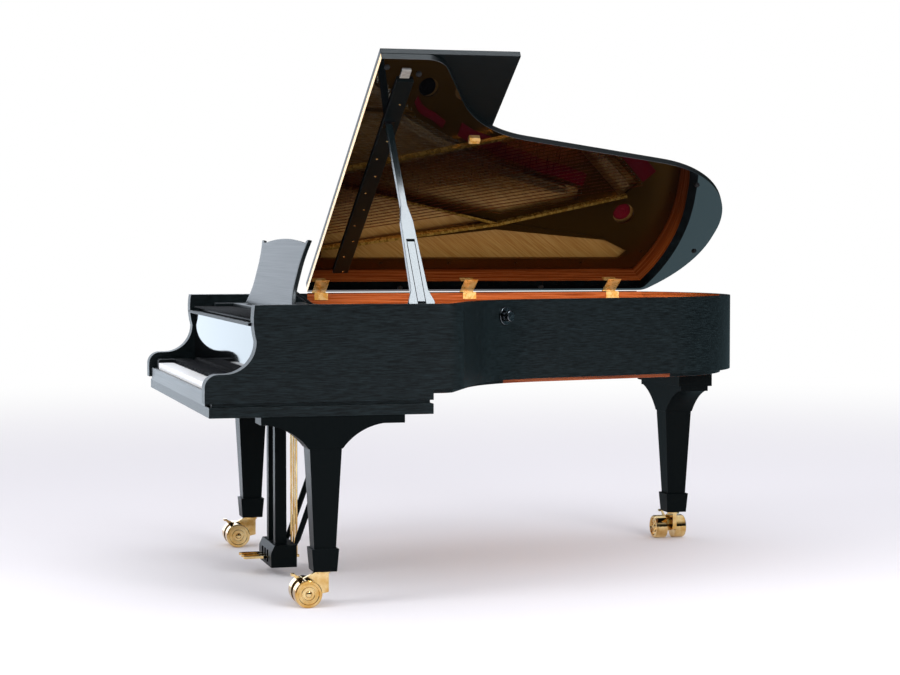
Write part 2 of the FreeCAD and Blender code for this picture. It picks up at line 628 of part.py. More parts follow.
def plate_openings(left):
    """Outlines of the openings: spine, bass front, tenor, bass bridge and the three treble sections."""
    mark = plate_marks()
    back, web = V(0, D.pin_size + D.bar_clear, 0), D.plate_bar_width / 4 + D.key_gap
    beside, node = V(web, 0, 0), V(D.node_size, 0, 0)
    short = V(0, -D.hitch_run / 2, 0)
    behind_belly = D.belly_at + D.belly_depth + D.node_size
    share = (behind_belly - mark.left.y) / (mark.node.y - mark.left.y)
    bass_side = mark.left + (mark.node - mark.left) * share
    spine_end = D.case_length - D.spine_end_to_tail
    before_node = mark.node - V(0, 2 * D.node_size, 0)
    openings = [
        [V(left, behind_belly, 0), bass_side - beside, mark.node - node, mark.spine - beside,
         V(left + D.node_size, spine_end, 0), V(left, spine_end - D.node_size, 0)],
        [mark.left + beside + back, mark.bass_start - beside + back, mark.turn - beside,
         before_node + beside * 0.3, before_node - beside * 0.3],
    ]
    first_start, first_end = break_line(TREBLE_BREAKS[0])
    far = short * 0.3
    clear = far + V(D.bolt_width, 0, 0)
    curve = [hitch_point(note) + clear for note in (39, 36, 33, 30, 27, 23, BASS_NOTES)]
    openings.append([mark.bass_start + beside + back, first_start - beside + back, first_end - beside + far]
                    + curve + [curve[-1] - V(D.bridge_width * 1.5, 0, 0), mark.node + node + back,
                               mark.turn + beside])
    low, high = bridge_point(0), bridge_point(BASS_NOTES - 1)
    along = (high - low).normalize()
    across = V(along.y, -along.x, 0) * (D.bridge_width * 1.3)
    low, high = low - along * D.bridge_width, high + along * D.bridge_width
    openings.append([low + across, high + across, high - across, low - across])
    for index, note in enumerate(TREBLE_BREAKS):
        start, end = break_line(note)
        if index + 1 < len(TREBLE_BREAKS):
            far = TREBLE_BREAKS[index + 1]
            far_start, far_end = (point - beside for point in break_line(far))
        else:
            far = NOTE_COUNT - 1
            edge = V(KEYS[far][2] / 2 + D.action_shift, 0, 0)
            far_start, far_end = agraffe(far) + edge, hitch_point(far) + edge
        openings.append([start + beside + back, far_start + back, far_end + short,
                         hitch_point((note + far) // 2) + short, end + beside + short])
    return openings


def plate_bars(body):
    """Bars that stand on the plate, and the one that bridges the tenor strings on two feet."""
    mark, back = plate_marks(), V(0, D.pin_size + D.bar_clear, 0)
    top, low = "plate_bottom + plate_thickness", "string_height - plate_bottom - plate_thickness - bar_clear"
    for note in TREBLE_BREAKS:
        start, end = break_line(note)
        bar_plan(body, start - back, end, low, top)
    under_bass = "string_height + bass_lift - plate_bottom - plate_thickness - 2 * bar_clear"
    bar_plan(body, mark.bass_start - back * 0.5, mark.turn, under_bass, top)
    bar_plan(body, mark.turn, mark.node, under_bass, top)
    bar_plan(body, mark.left - back, mark.node, "plate_bar_height", top)
    bar_plan(body, mark.node, mark.tail, "plate_bar_height", top)
    bar_plan(body, mark.node, mark.spine, low, top)
    run = (mark.bass_end - mark.bass_start).normalize()
    front, rear = mark.bass_start + run * D.node_size, mark.bass_end + run * D.spine_flange
    over, feet = "string_height + 4 * bar_clear", "string_height + 5 * bar_clear - plate_bottom - plate_thickness"
    bar_plan(body, mark.bass_start - back, rear, "plate_bar_height", over)
    bar_plan(body, mark.bass_start - back, mark.bass_start - back * 0.2, feet, top)
    bar_plan(body, rear - run * D.node_size, rear, feet, top)


def hexagon(x, y, radius):
    turns = [math.radians(60 * step) for step in range(6)]
    return polygon(*[(x + radius * math.cos(turn), y + radius * math.sin(turn)) for turn in turns])


def bar_plan(body, start, end, height, lift):
    """A raised straight bar on the plate between two points."""
    across = V(end.y - start.y, start.x - end.x, 0).normalize() * (D.plate_bar_width / 4)
    corners = [start + across, end + across, end - across, start - across]
    pad(body, "XY_Plane", polygon(*[(p.x, p.y) for p in corners]), height, lift)


def make_pin_block():
    block_piece = block(
        "pin_block",
        ("case_width - 2 * arm_wall - 2 * glue_gap", "pin_block_back_at - plate_front_at", "block_depth"),
        ("arm_wall + glue_gap - case_width / 2", f"plate_front_at + {HOME_Y}", "plate_bottom - block_depth"))
    block_piece.Label = "pin_block"
    pieces.append(block_piece)


# Keyboard and action

def make_keys():
    """All the keys, those of one name together: a C in every octave, then a C sharp, and so on."""
    front, back = D.key_front_at, D.key_back_at
    for pitch_class, name in enumerate(NOTES):
        solids = []
        for note_class, middle, stick, head in KEYS:
            if note_class != pitch_class:
                continue
            left, right = middle - stick / 2 + D.key_gap / 2, middle + stick / 2 - D.key_gap / 2
            if head is None:
                solids.append(black_key(left, right, front + D.white_head, back))
                continue
            head_left, head_right = head + D.key_gap / 2, head + D.white_pitch - D.key_gap / 2
            last = note_class == 0 and middle > 25 * D.white_pitch
            right = head_right if last else min(right, head_right)
            left, neck = max(left, head_left), front + D.white_head
            points = [(head_left, front), (head_right, front), (head_right, neck), (right, neck),
                      (right, back), (left, back), (left, neck), (head_left, neck)]
            points = [p for index, p in enumerate(points) if p != points[index - 1]]
            outline = [V(x, y, D.key_bottom) for x, y in points]
            solids.append(prism(outline, V(0, 0, D.white_top - D.key_bottom)))
        set_solids(f"keys_{name}", solids)


def black_key(left, right, front, back):
    """A stick with a raised, sloping-fronted top."""
    stick_top, reach = D.white_top - 2 * D.key_dip / 3, front + D.key_gap + D.black_length
    profile = [(front + D.key_gap, D.key_bottom), (back, D.key_bottom), (back, stick_top), (reach, stick_top),
               (reach, D.black_top), (front + D.key_gap + D.black_slope, D.black_top)]
    return prism([V(left, y, z) for y, z in profile], V(right - left, 0, 0))


def make_action_frame():
    """Key frame rails that carry the keys, and the brackets and rail that carry the hammers."""
    length = f"({WHITE_COUNT + 4} * {PITCH})"
    left = f"-{length} / 2"
    rails = [block("front_rail", (f"{WHITE_COUNT} * {PITCH}", "white_head", "front_rail_top - bed_top"),
                   (f"-{WHITE_COUNT / 2} * {PITCH}", "key_front_at + key_dip", "bed_top"))]
    body = new_body("balance_rail")
    half, seat = D.bearing_width / 2, D.key_bottom - D.seat_gap
    low, shoulder = D.bed_top, D.key_bottom - D.key_dip
    pad(body, "YZ_Plane", polygon(
        (D.balance_at - 3 * half, low), (D.balance_at + 3 * half, low), (D.balance_at + 3 * half, shoulder),
        (D.balance_at + half, seat), (D.balance_at - half, seat), (D.balance_at - 3 * half, shoulder)), length, left)
    rails.append(body)
    rails.append(block("back_rail", (length, "2 * white_head", "key_bottom - seat_gap - bed_top"),
                       (left, "key_back_at - white_head / 2", "bed_top")))
    rail_depth = D.action_rail
    pivot_y, pivot_z = D.hammer_pivot_at, D.hammer_pivot_height
    rail_low, rail_high = pivot_z - rail_depth - D.shank_depth, pivot_z - D.shank_depth
    hammer_rail = new_body("hammer_rail")
    profile = rectangle(pivot_y - rail_depth, rail_low, pivot_y + D.shank_depth, rail_high)
    pad(hammer_rail, "YZ_Plane", profile, length, left)
    rails.append(hammer_rail)
    seat_y = D.key_back_at + D.seat_gap * 10
    for index in range(5):
        bracket = new_body(f"bracket_{index + 1}")
        foot = polygon((seat_y, seat), (seat_y + rail_depth, seat), (pivot_y + D.shank_depth, rail_low),
                       (pivot_y - rail_depth, rail_low))
        pad(bracket, "YZ_Plane", foot, "key_dip", f"({index} - 2) * 13 * {PITCH} - key_dip / 2")
        rails.append(bracket)
    group("action_frame", rails)


def make_hammers():
    """A felted head on a shank for each note, hanging a blow below the strings."""
    drop = math.degrees(math.asin(D.hammer_blow / D.hammer_shank))
    y, z, half = D.hammer_pivot_at, D.hammer_pivot_height, D.shank_depth / 2
    end = y + D.hammer_shank
    top = z + D.hammer_head
    profile = [(y - half, z - half), (end + D.head_depth / 2, z - half), (end + D.shank_depth / 4, top),
               (end - D.shank_depth / 4, top), (end - D.head_depth / 2, z + half), (y - half, z + half)]
    solids = []
    for note, (_, _, stick, _) in enumerate(KEYS):
        middle, width = string_across(note, D.strike_at), stick - 3 * D.key_gap
        solids.append(prism([V(middle - width / 2, py, pz) for py, pz in profile], V(width, 0, 0)))
    set_solids("hammers", solids, turned((1, 0, 0), -drop, (0, y, z)))


def make_dampers():
    """A damper head resting on each of the lower notes' strings, low ones where bass strings cross above."""
    solids = []
    for note in range(DAMPED_NOTES):
        height = D.bass_string_height if note < BASS_NOTES else D.string_height
        thickness = D.wound_thickness if note < BASS_NOTES else D.string_thickness
        under_bass = BASS_NOTES <= note < BASS_NOTES + 8
        head = D.damper_height / 3 if under_bass else D.damper_height
        width = KEYS[note][2] - 3 * D.key_gap
        base = height + thickness / 2 + D.seat_gap
        corner = V(string_across(note, D.damper_at) - width / 2, D.damper_at - D.damper_length / 2, base)
        solids.append(Part.makeBox(width, D.damper_length, head, corner))
    set_solids("dampers", solids)


def make_fallboard():
    """Board that turns down over the keys, with a lip along its edge and a pin at each end."""
    body = new_body("fallboard")
    y, z, gap = D.fall_pivot_at, D.fall_pivot_height, D.fall_pin_radius
    front, back, top = y - gap, y - gap + D.fall_thickness, z + D.fall_height
    lip_front, lip_low = front - D.fall_lip, top - D.fall_lip_depth
    profile = rounded([
        (front, z + 2 * gap, 0), (back, z + 2 * gap, gap), (back, top, gap), (lip_front, top, gap),
        (lip_front, lip_low, gap), (front, lip_low, 2 * gap),
    ])
    width = "(case_width - 2 * arm_wall - 2 * tray_gap)"
    pad(body, "YZ_Plane", profile, width, f"-{width} / 2")
    ear = rectangle(front, z - gap, front + 2 * gap, z + 3 * gap)
    pad(body, "YZ_Plane", ear, width, f"-{width} / 2")
    pin = "(case_width - 2 * arm_wall + 2 * pin_reach)"
    pad(body, "YZ_Plane", circle(y, z, D.fall_pin_radius), pin, f"-{pin} / 2")
    finish(body, "fallboard")


# Music desk

def make_desk():
    """Tray between the arms, and the leaning panel that stands on it with a strut behind."""
    width = "(case_width - 2 * arm_wall - 2 * tray_gap)"
    tray = block("desk_tray", (width, "tray_back_at - tray_front_at", "tray_thickness"),
                 (f"-{width} / 2", f"tray_front_at + {HOME_Y}", "tray_bottom"))
    tray.Label = "desk_tray"
    pieces.append(tray)
    lean = 90 - D.desk_lean
    foot_z = D.tray_bottom + D.tray_thickness + D.seat_gap
    half, high = HALF - D.desk_side_gap, D.desk_height
    waist = half - D.desk_draw_in
    ear, notch = half - D.desk_ear, high - D.desk_notch
    corners = [V(-half, 0, 0), V(half, 0, 0), V(half - D.desk_ear / 2, high, 0), V(ear, high, 0),
               V(ear - D.desk_notch, notch, 0), V(-ear + D.desk_notch, notch, 0), V(-ear, high, 0),
               V(D.desk_ear / 2 - half, high, 0)]
    bows = {1: V(waist, high / 2, 0), 4: V(0, notch + D.desk_arch, 0), 7: V(-waist, high / 2, 0)}
    edges = []
    for index, corner in enumerate(corners):
        following = corners[(index + 1) % len(corners)]
        bow = bows.get(index)
        edges.append(Part.Arc(corner, bow, following) if bow else Part.LineSegment(corner, following))
    body = new_body("music_desk")
    pad(body, "XY_Plane", edges, "desk_thickness")
    finish(body, "music_desk", FreeCAD.Placement(V(0, D.desk_at, foot_z), FreeCAD.Rotation(V(1, 0, 0), lean)))
    pivot = strut_pivot()
    slope, half_thick = math.radians(D.strut_slope), D.strut_thickness / 2
    along = V(math.cos(slope), -math.sin(slope), 0)
    aside = V(math.sin(slope), math.cos(slope), 0) * half_thick
    outline = []
    for edge in (aside, aside * -1):
        start = V(pivot.y, pivot.z, 0) + edge
        outline.append((start, start + along * ((start.y - foot_z) / math.sin(slope))))
    (upper, upper_foot), (lower, lower_foot) = outline
    strut = new_body("desk_strut")
    pad(strut, "YZ_Plane", polygon(*[(p.x, p.y) for p in (lower, lower_foot, upper_foot, upper)]),
        "strut_width", "case_width / 2 - desk_side_gap - strut_inset - strut_width / 2")
    finish(strut, "desk_strut")


def strut_pivot():
    """Where the strut hangs on the back of the leaning desk."""
    lean = math.radians(D.desk_lean)
    up, behind = V(0, math.sin(lean), math.cos(lean)), V(0, math.cos(lean), -math.sin(lean))
    foot = V(0, D.desk_at, D.tray_bottom + D.tray_thickness + D.seat_gap)
    return foot + up * D.strut_up + behind * (D.strut_thickness / 2 + 2 * D.seat_gap)


# Lid: every piece of it is drawn closed, then turned open about the spine hinges

HINGE_X = -(HALF + D.lid_overhang + D.knuckle_radius + D.glue_gap)
LID_LOW = D.rim_top + D.lid_gap
LID_OPEN = turned((0, 1, 0), -D.lid_angle, (HINGE_X, 0, LID_LOW))


def hinge_places():
    return [D.first_hinge_at + index * D.hinge_step for index in range(HINGE_COUNT)]


def make_lid():
    body = new_body("lid")
    low = "rim_top + lid_gap"
    pad(body, "XY_Plane", case_plan(D.lid_overhang, D.lid_front_at), "lid_thickness", low)
    edge = -HALF - D.lid_overhang
    for at in hinge_places():
        half = D.hinge_width / 2 + D.glue_gap
        recess = rectangle(2 * edge, at - half, edge + D.hinge_leaf + D.glue_gap, at + half)
        pocket(body, "XY_Plane", recess, "leaf_thickness", low)
    finish(body, "lid", LID_OPEN)


def make_lid_flap():
    """Front leaf of the lid, folded back to lie on top of the main leaf."""
    body = new_body("lid_flap")
    half = HALF + D.lid_overhang
    back = D.lid_front_at - D.flap_gap
    flap = rounded([(-half, back - D.flap_length, SHARP_EDGE), (half, back - D.flap_length, SHARP_EDGE),
                    (half, back, 0), (-half, back, 0)])
    pad(body, "XY_Plane", flap, "lid_thickness", "rim_top + lid_gap")
    fold_y = D.lid_front_at - D.flap_gap / 2
    fold = turned((1, 0, 0), 180, (0, fold_y, LID_LOW + D.lid_thickness + D.seat_gap / 2))
    finish(body, "lid_flap", LID_OPEN.multiply(fold))


def make_hinges():
    """Spine hinges: a strap over the rim with the middle knuckle, and a leaf let into the lid."""
    straps, leaves = [], []
    half = D.hinge_width / 2
    knuckle = half / 3
    axis = V(0, 1, 0)
    edge, inside = -HALF - D.lid_overhang, -HALF + D.outer_wall
    thick = D.leaf_thickness
    for at in hinge_places():
        top = Part.makeBox(inside + thick - HINGE_X, 2 * knuckle, thick, V(HINGE_X, at - knuckle, D.rim_top + D.glue_gap))
        turn_down = Part.makeBox(thick, D.hinge_width, D.hinge_width / 2,
                                 V(inside + D.glue_gap, at - half, D.rim_top + D.glue_gap + thick - D.hinge_width / 2))
        roll = Part.makeCylinder(D.knuckle_radius, 2 * knuckle, V(HINGE_X, at - knuckle, LID_LOW), axis)
        straps.append(top.fuse([turn_down, roll]).removeSplitter())
        leaf = Part.makeBox(D.hinge_leaf, 2 * half, thick, V(edge, at - half, LID_LOW))
        arms = []
        for start in (at - half, at + knuckle + D.glue_gap):
            reach = half - knuckle - D.glue_gap
            arms.append(Part.makeBox(edge - HINGE_X, reach, thick, V(HINGE_X, start, LID_LOW)))
            arms.append(Part.makeCylinder(D.knuckle_radius, reach, V(HINGE_X, start, LID_LOW), axis))
        leaves.append(leaf.fuse(arms).removeSplitter())
    set_solids("rim_hinges", straps)
    return leaves


def prop_reach():
    """Length from the prop's pivot to the socket's face, and how far across the closed lid it meets it."""
    lean, angle = math.radians(D.prop_lean), math.radians(D.lid_angle)
    depth = D.batten_depth + D.socket_thickness
    gap_x, gap_z = D.prop_across - HINGE_X, D.prop_pivot_height - LID_LOW
    length = (gap_x * math.sin(angle) - gap_z * math.cos(angle) - depth) / math.cos(lean - angle)
    run, rise = gap_x - length * math.sin(lean), gap_z + length * math.cos(lean)
    return length, HINGE_X + run * math.cos(angle) + rise * math.sin(angle)


def make_lid_fittings():
    """On the lid's underside: a batten, and in brass the hinge leaves, prop socket and lock catch."""
    batten = new_body("lid_batten")
    right = HALF - D.outer_wall - D.batten_inset
    plan = rectangle(D.batten_inset - HALF + D.hinge_leaf, D.batten_at - D.batten_width / 2, right,
                     D.batten_at + D.batten_width / 2)
    pad(batten, "XY_Plane", plan, "batten_depth", "rim_top + lid_gap - batten_depth")
    finish(batten, "lid_batten", LID_OPEN)
    solids = make_hinges()
    _, socket_x = prop_reach()
    socket_half = D.prop_tip - SHARP_EDGE
    low = LID_LOW - D.batten_depth - D.socket_thickness
    solids.append(Part.makeBox(2 * socket_half, 2 * socket_half, D.socket_thickness,
                               V(socket_x - socket_half, D.prop_at - socket_half, low)))
    catch = knob_place()[0]
    inward = D.outer_wall + D.rosette_radius
    solids.append(Part.makeBox(D.knob_radius, 2 * D.knob_radius, D.batten_depth,
                               V(catch.x - inward, catch.y - inward, LID_LOW - D.batten_depth)))
    bracket_x = right + D.prop_tip / 2
    solids.append(Part.makeBox(2 * D.prop_tip, 1.5 * D.prop_tip, D.batten_depth / 2,
                               V(bracket_x, D.batten_at - D.prop_tip, LID_LOW - D.batten_depth / 2)))
    set_solids("lid_fittings", solids, LID_OPEN)


def prop_frame():
    """Stands a stick drawn flat, width along x and length along y, on its pivot with its lean."""
    lean = FreeCAD.Rotation(V(0, 1, 0), V(-math.sin(math.radians(D.prop_lean)), 0, math.cos(math.radians(D.prop_lean))),
                            V(0, 0, 1), "XYZ")
    return FreeCAD.Placement(V(D.prop_across, D.prop_at, D.prop_pivot_height), lean)


def make_props():
    """Long lid prop with a flared foot, and the short prop that nests in its face."""
    length, _ = prop_reach()
    tip = length - 5 * D.seat_gap
    foot, waist, wide, thin = (size / 2 for size in (D.prop_foot, D.prop_waist, D.prop_body, D.prop_tip))
    flare, neck = D.prop_thickness, D.prop_thickness * 3
    body_end = D.prop_body_length
    right = [(foot, 0, 0), (foot, flare, flare / 2), (waist, neck, neck), (wide, body_end, neck),
             (thin, body_end + D.prop_shoulder, neck), (thin, tip, thin / 2)]
    outline = right + [(-x, y, radius) for x, y, radius in reversed(right)]
    prop = new_body("lid_prop")
    pad(prop, "XY_Plane", rounded(outline), "prop_thickness", "-prop_thickness / 2")
    pad(prop, "YZ_Plane", circle(0, 0, D.prop_thickness / 2), "prop_foot", "-prop_foot / 2")
    slot = D.short_prop_width / 2 + D.key_gap
    depth = D.short_prop_thickness + D.seat_gap
    pivot_y = D.prop_thickness / 2 + D.short_prop_thickness
    recess = rectangle(-slot, pivot_y - D.short_prop_thickness, slot, pivot_y + D.short_prop + D.short_prop_thickness)
    pocket(prop, "XY_Plane", recess, "prop_thickness", "prop_thickness / 2 - short_prop_thickness - 2 * seat_gap")
    place = prop_frame()
    finish(prop, "lid_prop", place)
    short = new_body("short_prop")
    half = D.short_prop_width / 2
    pad(short, "XY_Plane", rectangle(-half, pivot_y, half, pivot_y + D.short_prop), "short_prop_thickness",
        "prop_thickness / 2 - short_prop_thickness - seat_gap")
    end = circle(pivot_y, D.prop_thickness / 2 - depth + D.short_prop_thickness / 2, D.short_prop_thickness / 2)
    pad(short, "YZ_Plane", end, "short_prop_width", "-short_prop_width / 2")
    finish(short, "short_prop", place)


def knob_place():
    """Point on the waist of the rim where the lid lock sits, and the way that it faces."""
    corners = case_corners(0, 0)
    corner, before, after = (V(corners[index][0], corners[index][1], 0) for index in (3, 2, 4))
    radius = D.waist_radius
    back, ahead = (before - corner).normalize(), (after - corner).normalize()
    half = back.getAngle(ahead) / 2
    centre = corner + (back + ahead).normalize() * (radius / math.sin(half))
    turn = FreeCAD.Rotation(V(0, 0, 1), -D.knob_turn)
    outward = turn.multVec((back + ahead).normalize())
    return centre - outward * radius, outward


def make_lock_knob():
    body = new_body("lock_knob")
    point, outward = knob_place()
    profile = rounded([
        (0, 0, 0), (D.rosette_radius, 0, 0), (D.rosette_radius, D.rosette_depth, SHARP_EDGE),
        (D.knob_radius * 0.7, D.rosette_depth, 0), (D.knob_radius * 0.7, D.knob_length / 2, 0),
        (D.knob_radius, D.knob_length / 2, SHARP_EDGE), (D.knob_radius, D.knob_length, 2 * SHARP_EDGE), (0, D.knob_length, 0),
    ])
    revolve(body, profile, "V_Axis")
    hollow = D.rosette_radius ** 2 / (2 * D.waist_radius)
    seat = point + outward * (hollow + D.seat_gap) + V(0, 0, D.knob_height)
    finish(body, "lock_knob", FreeCAD.Placement(seat, FreeCAD.Rotation(V(0, 1, 0), outward)))


# Legs, casters, lyre and pedals

def square(x, y, side):
    half = side / 2
    return rectangle(x - half, y - half, x + half, y + half)


def leg_column(body, x, y):
    """Tapered square column on a boot, bored for the caster's stem."""
    loft(body, square(x, y, D.leg_foot), "boot_top", square(x, y, D.leg_neck), "leg_shoulder")
    loft(body, square(x, y, D.boot_narrow), "boot_bottom", square(x, y, D.boot_wide), "boot_top")
    bore = circle(x, y, D.stem_radius + D.running_gap)
    pocket(body, "XY_Plane", bore, "stem_length + glue_gap", "boot_bottom")


def flare(middle, top_half, top_z):
    """Bracket outline: hollow curves that spread from the column's head to the plate above."""
    base_half, base_z = D.leg_top / 2, D.leg_shoulder
    points = [V(middle - base_half, base_z, 0), V(middle + base_half, base_z, 0), V(middle + top_half, top_z, 0),
              V(middle - top_half, top_z, 0)]
    bend, bend_z = base_half + D.flare_in, base_z + D.flare_up
    return [Part.LineSegment(points[0], points[1]),
            Part.Arc(points[1], V(middle + bend, bend_z, 0), points[2]),
            Part.LineSegment(points[2], points[3]),
            Part.Arc(points[3], V(middle - bend, bend_z, 0), points[0])]


def make_front_legs():
    """Legs under the arms: each column spreads along the case into a plate under the key bed."""
    legs = []
    for name, side in (("bass_leg", -1), ("treble_leg", 1)):
        body = new_body(name)
        x, y = side * D.leg_across, D.leg_at
        leg_column(body, x, y)
        lift = "case_width / 2 - leg_inset - leg_top / 2" if side > 0 else "leg_inset - case_width / 2 - leg_top / 2"
        bracket = flare(y, D.leg_plate_front - D.bracket_inset, D.leg_plate_bottom)
        pad(body, "YZ_Plane", bracket, "leg_top", lift)
        plate = rectangle(y - D.leg_plate_front, D.leg_plate_bottom, y + D.leg_plate_back, D.bed_bottom)
        pad(body, "YZ_Plane", plate, "leg_top", lift)
        legs.append(body)
    group("front_legs", legs)


def make_rear_leg():
    """Leg under the tail: its column spreads across the case into a stepped plate under the beams."""
    body = new_body("rear_leg")
    place = from_tail("rear_leg")
    half, deep = D.rear_plate_length / 2, D.leg_top / 2
    leg_column(body, place.x, place.y)
    bracket = flare(place.x, half - D.bracket_inset, D.rear_plate_bottom)
    pad(body, "XZ_Plane", bracket, "leg_top", "rear_leg_to_tail - case_length - leg_top / 2")
    steps = (
        (0, "rear_plate_step", "rear_plate_bottom"),
        (D.rear_plate_edge, "inner_bottom - rear_plate_bottom - rear_plate_step", "rear_plate_bottom + rear_plate_step"),
    )
    for edge, height, lift in steps:
        plan = rectangle(place.x - half - edge, place.y - deep - edge, place.x + half + edge, place.y + deep + edge)
        pad(body, "XY_Plane", plan, height, lift)
    finish(body, "rear_leg")


REAR = from_tail("rear_leg")
CASTERS = (
    ("bass", -D.leg_across, D.leg_at, 0),
    ("treble", D.leg_across, D.leg_at, 0),
    ("rear", REAR.x, REAR.y, -90),
)


def make_caster(name, x, y, swivel):
    """Twin-wheel caster: a swivelling fork, a wheel set on its axle, and a foot brake lever."""
    place = FreeCAD.Placement(V(x, y, 0), FreeCAD.Rotation(V(0, 0, 1), swivel))
    axle_y, axle_z = -D.caster_trail, D.wheel_radius
    half = D.fork_thickness / 2
    head = D.boot_bottom - D.fork_clear
    boss = 2 * D.axle_radius
    fork = new_body(f"{name}_caster_fork")
    lever_y, lever_z = axle_y - boss / 2, axle_z + 2 * boss
    post = 1.5 * D.stem_radius
    profile = rounded([
        (axle_y - boss, axle_z - boss, boss * 0.9), (axle_y + boss, axle_z - boss, boss / 2),
        (post, axle_z - D.fork_clear, D.fork_clear), (post, head, 0),
        (-2 * D.stem_radius, head, boss), (lever_y - boss / 2, lever_z + boss / 2, boss / 2),
    ])
    pad(fork, "YZ_Plane", profile, "fork_thickness", "-fork_thickness / 2")
    pad(fork, "XY_Plane", circle(0, 0, D.stem_radius), "stem_length + fork_clear", "boot_bottom - fork_clear")
    pad(fork, "XY_Plane", circle(0, 0, 2 * D.stem_radius), "2 * fork_clear", "boot_bottom - 3 * fork_clear - seat_gap")
    bore = circle(axle_y, axle_z, D.axle_radius + D.running_gap)
    pocket(fork, "YZ_Plane", bore, "fork_thickness", "-fork_thickness / 2")
    pin = circle(lever_y, lever_z, D.lever_pin_radius)
    pad(fork, "YZ_Plane", pin, "lever_thickness + seat_gap + lever_pin_radius / 3", "fork_thickness / 2")
    finish(fork, f"{name}_caster_fork", place)
    wheels = new_body(f"{name}_wheels")
    inner, outer = D.wheel_gap / 2, D.wheel_gap / 2 + D.wheel_width
    rim = D.wheel_radius - D.wheel_rim
    right = [(inner, D.axle_radius), (inner, D.wheel_radius), (outer, D.wheel_radius), (outer, rim),
             (outer - D.wheel_recess, rim), (outer - D.wheel_recess, D.wheel_hub), (outer, D.wheel_hub), (outer, 0)]
    profile = polygon(*right, *[(-px, py) for px, py in reversed(right)])
    revolve(wheels, profile, "H_Axis")
    finish(wheels, f"{name}_wheels", place.multiply(FreeCAD.Placement(V(0, axle_y, axle_z), FreeCAD.Rotation())))
    lever = new_body(f"{name}_brake_lever")
    hub = 2 * D.lever_pin_radius + SHARP_EDGE
    tip_y, tip_z = lever_y - D.lever_reach, lever_z + D.lever_rise
    arm = rounded([(lever_y + hub, lever_z - hub, hub * 0.9), (lever_y + hub, lever_z + hub, hub * 0.9),
                   (tip_y, tip_z + hub, 0), (tip_y, tip_z, 0), (lever_y - hub, lever_z - hub, hub)])
    start = "fork_thickness / 2 + seat_gap"
    pad(lever, "YZ_Plane", arm, "lever_thickness", start)
    tab = rectangle(tip_y - hub, tip_z, tip_y + hub / 2, tip_z + hub)
    pad(lever, "YZ_Plane", tab, "lever_tab", "fork_thickness / 2 + seat_gap + lever_thickness / 2 - lever_tab / 2")
    eye = circle(lever_y, lever_z, D.lever_pin_radius + D.running_gap)
    pocket(lever, "YZ_Plane", eye, "lever_thickness", start)
    finish(lever, f"{name}_brake_lever", place)


def make_lyre():
    """Two posts between a head plate and a pedal box, which is slotted for the pedals."""
    body = new_body("pedal_lyre")
    half, back = D.lyre_width / 2, D.lyre_back_at
    slope = (D.lyre_top - D.lyre_bottom) / 3
    box = polygon((D.lyre_front_at, D.lyre_bottom), (back, D.lyre_bottom), (back, D.lyre_top),
                  (D.lyre_post_at - D.lyre_post_width / 4, D.lyre_top), (D.lyre_front_at, D.lyre_top - slope))
    pad(body, "YZ_Plane", box, "lyre_width", "-lyre_width / 2")
    for side in (-1, 1):
        x = side * D.lyre_post_across
        post = rectangle(x - D.lyre_post_width / 2, D.lyre_post_at, x + D.lyre_post_width / 2,
                         D.lyre_post_at + D.lyre_post_depth)
        pad(body, "XY_Plane", post, "lyre_head_bottom - lyre_top", "lyre_top")
    head = rectangle(-half, D.lyre_post_at - D.lyre_post_width, half, back)
    pad(body, "XY_Plane", head, "bed_bottom - lyre_head_bottom", "lyre_head_bottom")
    for index in (-1, 0, 1):
        middle = index * D.pedal_pitch
        slot = rectangle(middle - D.slot_width / 2, D.slot_bottom, middle + D.slot_width / 2, D.slot_top)
        pocket(body, "XZ_Plane", slot, "lyre_back_at", "-lyre_back_at - slot_width")
    pivot_z = D.pedal_height + D.pedal_thickness / 2
    pad(body, "YZ_Plane", circle(D.pedal_pivot_at, pivot_z, D.pedal_pin_radius), "lyre_width - 2 * slot_width",
        "slot_width - lyre_width / 2")
    finish(body, "pedal_lyre")


def make_lyre_braces():
    """Slanted stays from the back of the pedal box up to the key bed."""
    foot_y, low, high = D.lyre_back_at + D.glue_gap, D.brace_foot, D.bed_bottom - D.glue_gap
    run = D.brace_at - foot_y
    rise = high - low
    drop = D.brace_width * math.hypot(run, rise) / run
    width = D.brace_width * math.hypot(run, rise) / rise
    profile = polygon((foot_y, low), (D.brace_at + width, high), (D.brace_at, high), (foot_y, low + min(drop, D.lyre_top - low)))
    stays = []
    for name, side in (("bass_brace", -1), ("treble_brace", 1)):
        body = new_body(name)
        lift = "lyre_post_across + brace_width / 2" if side > 0 else "-lyre_post_across - 3 * brace_width / 2"
        pad(body, "YZ_Plane", profile, "brace_width", lift)
        stays.append(body)
    group("lyre_braces", stays)


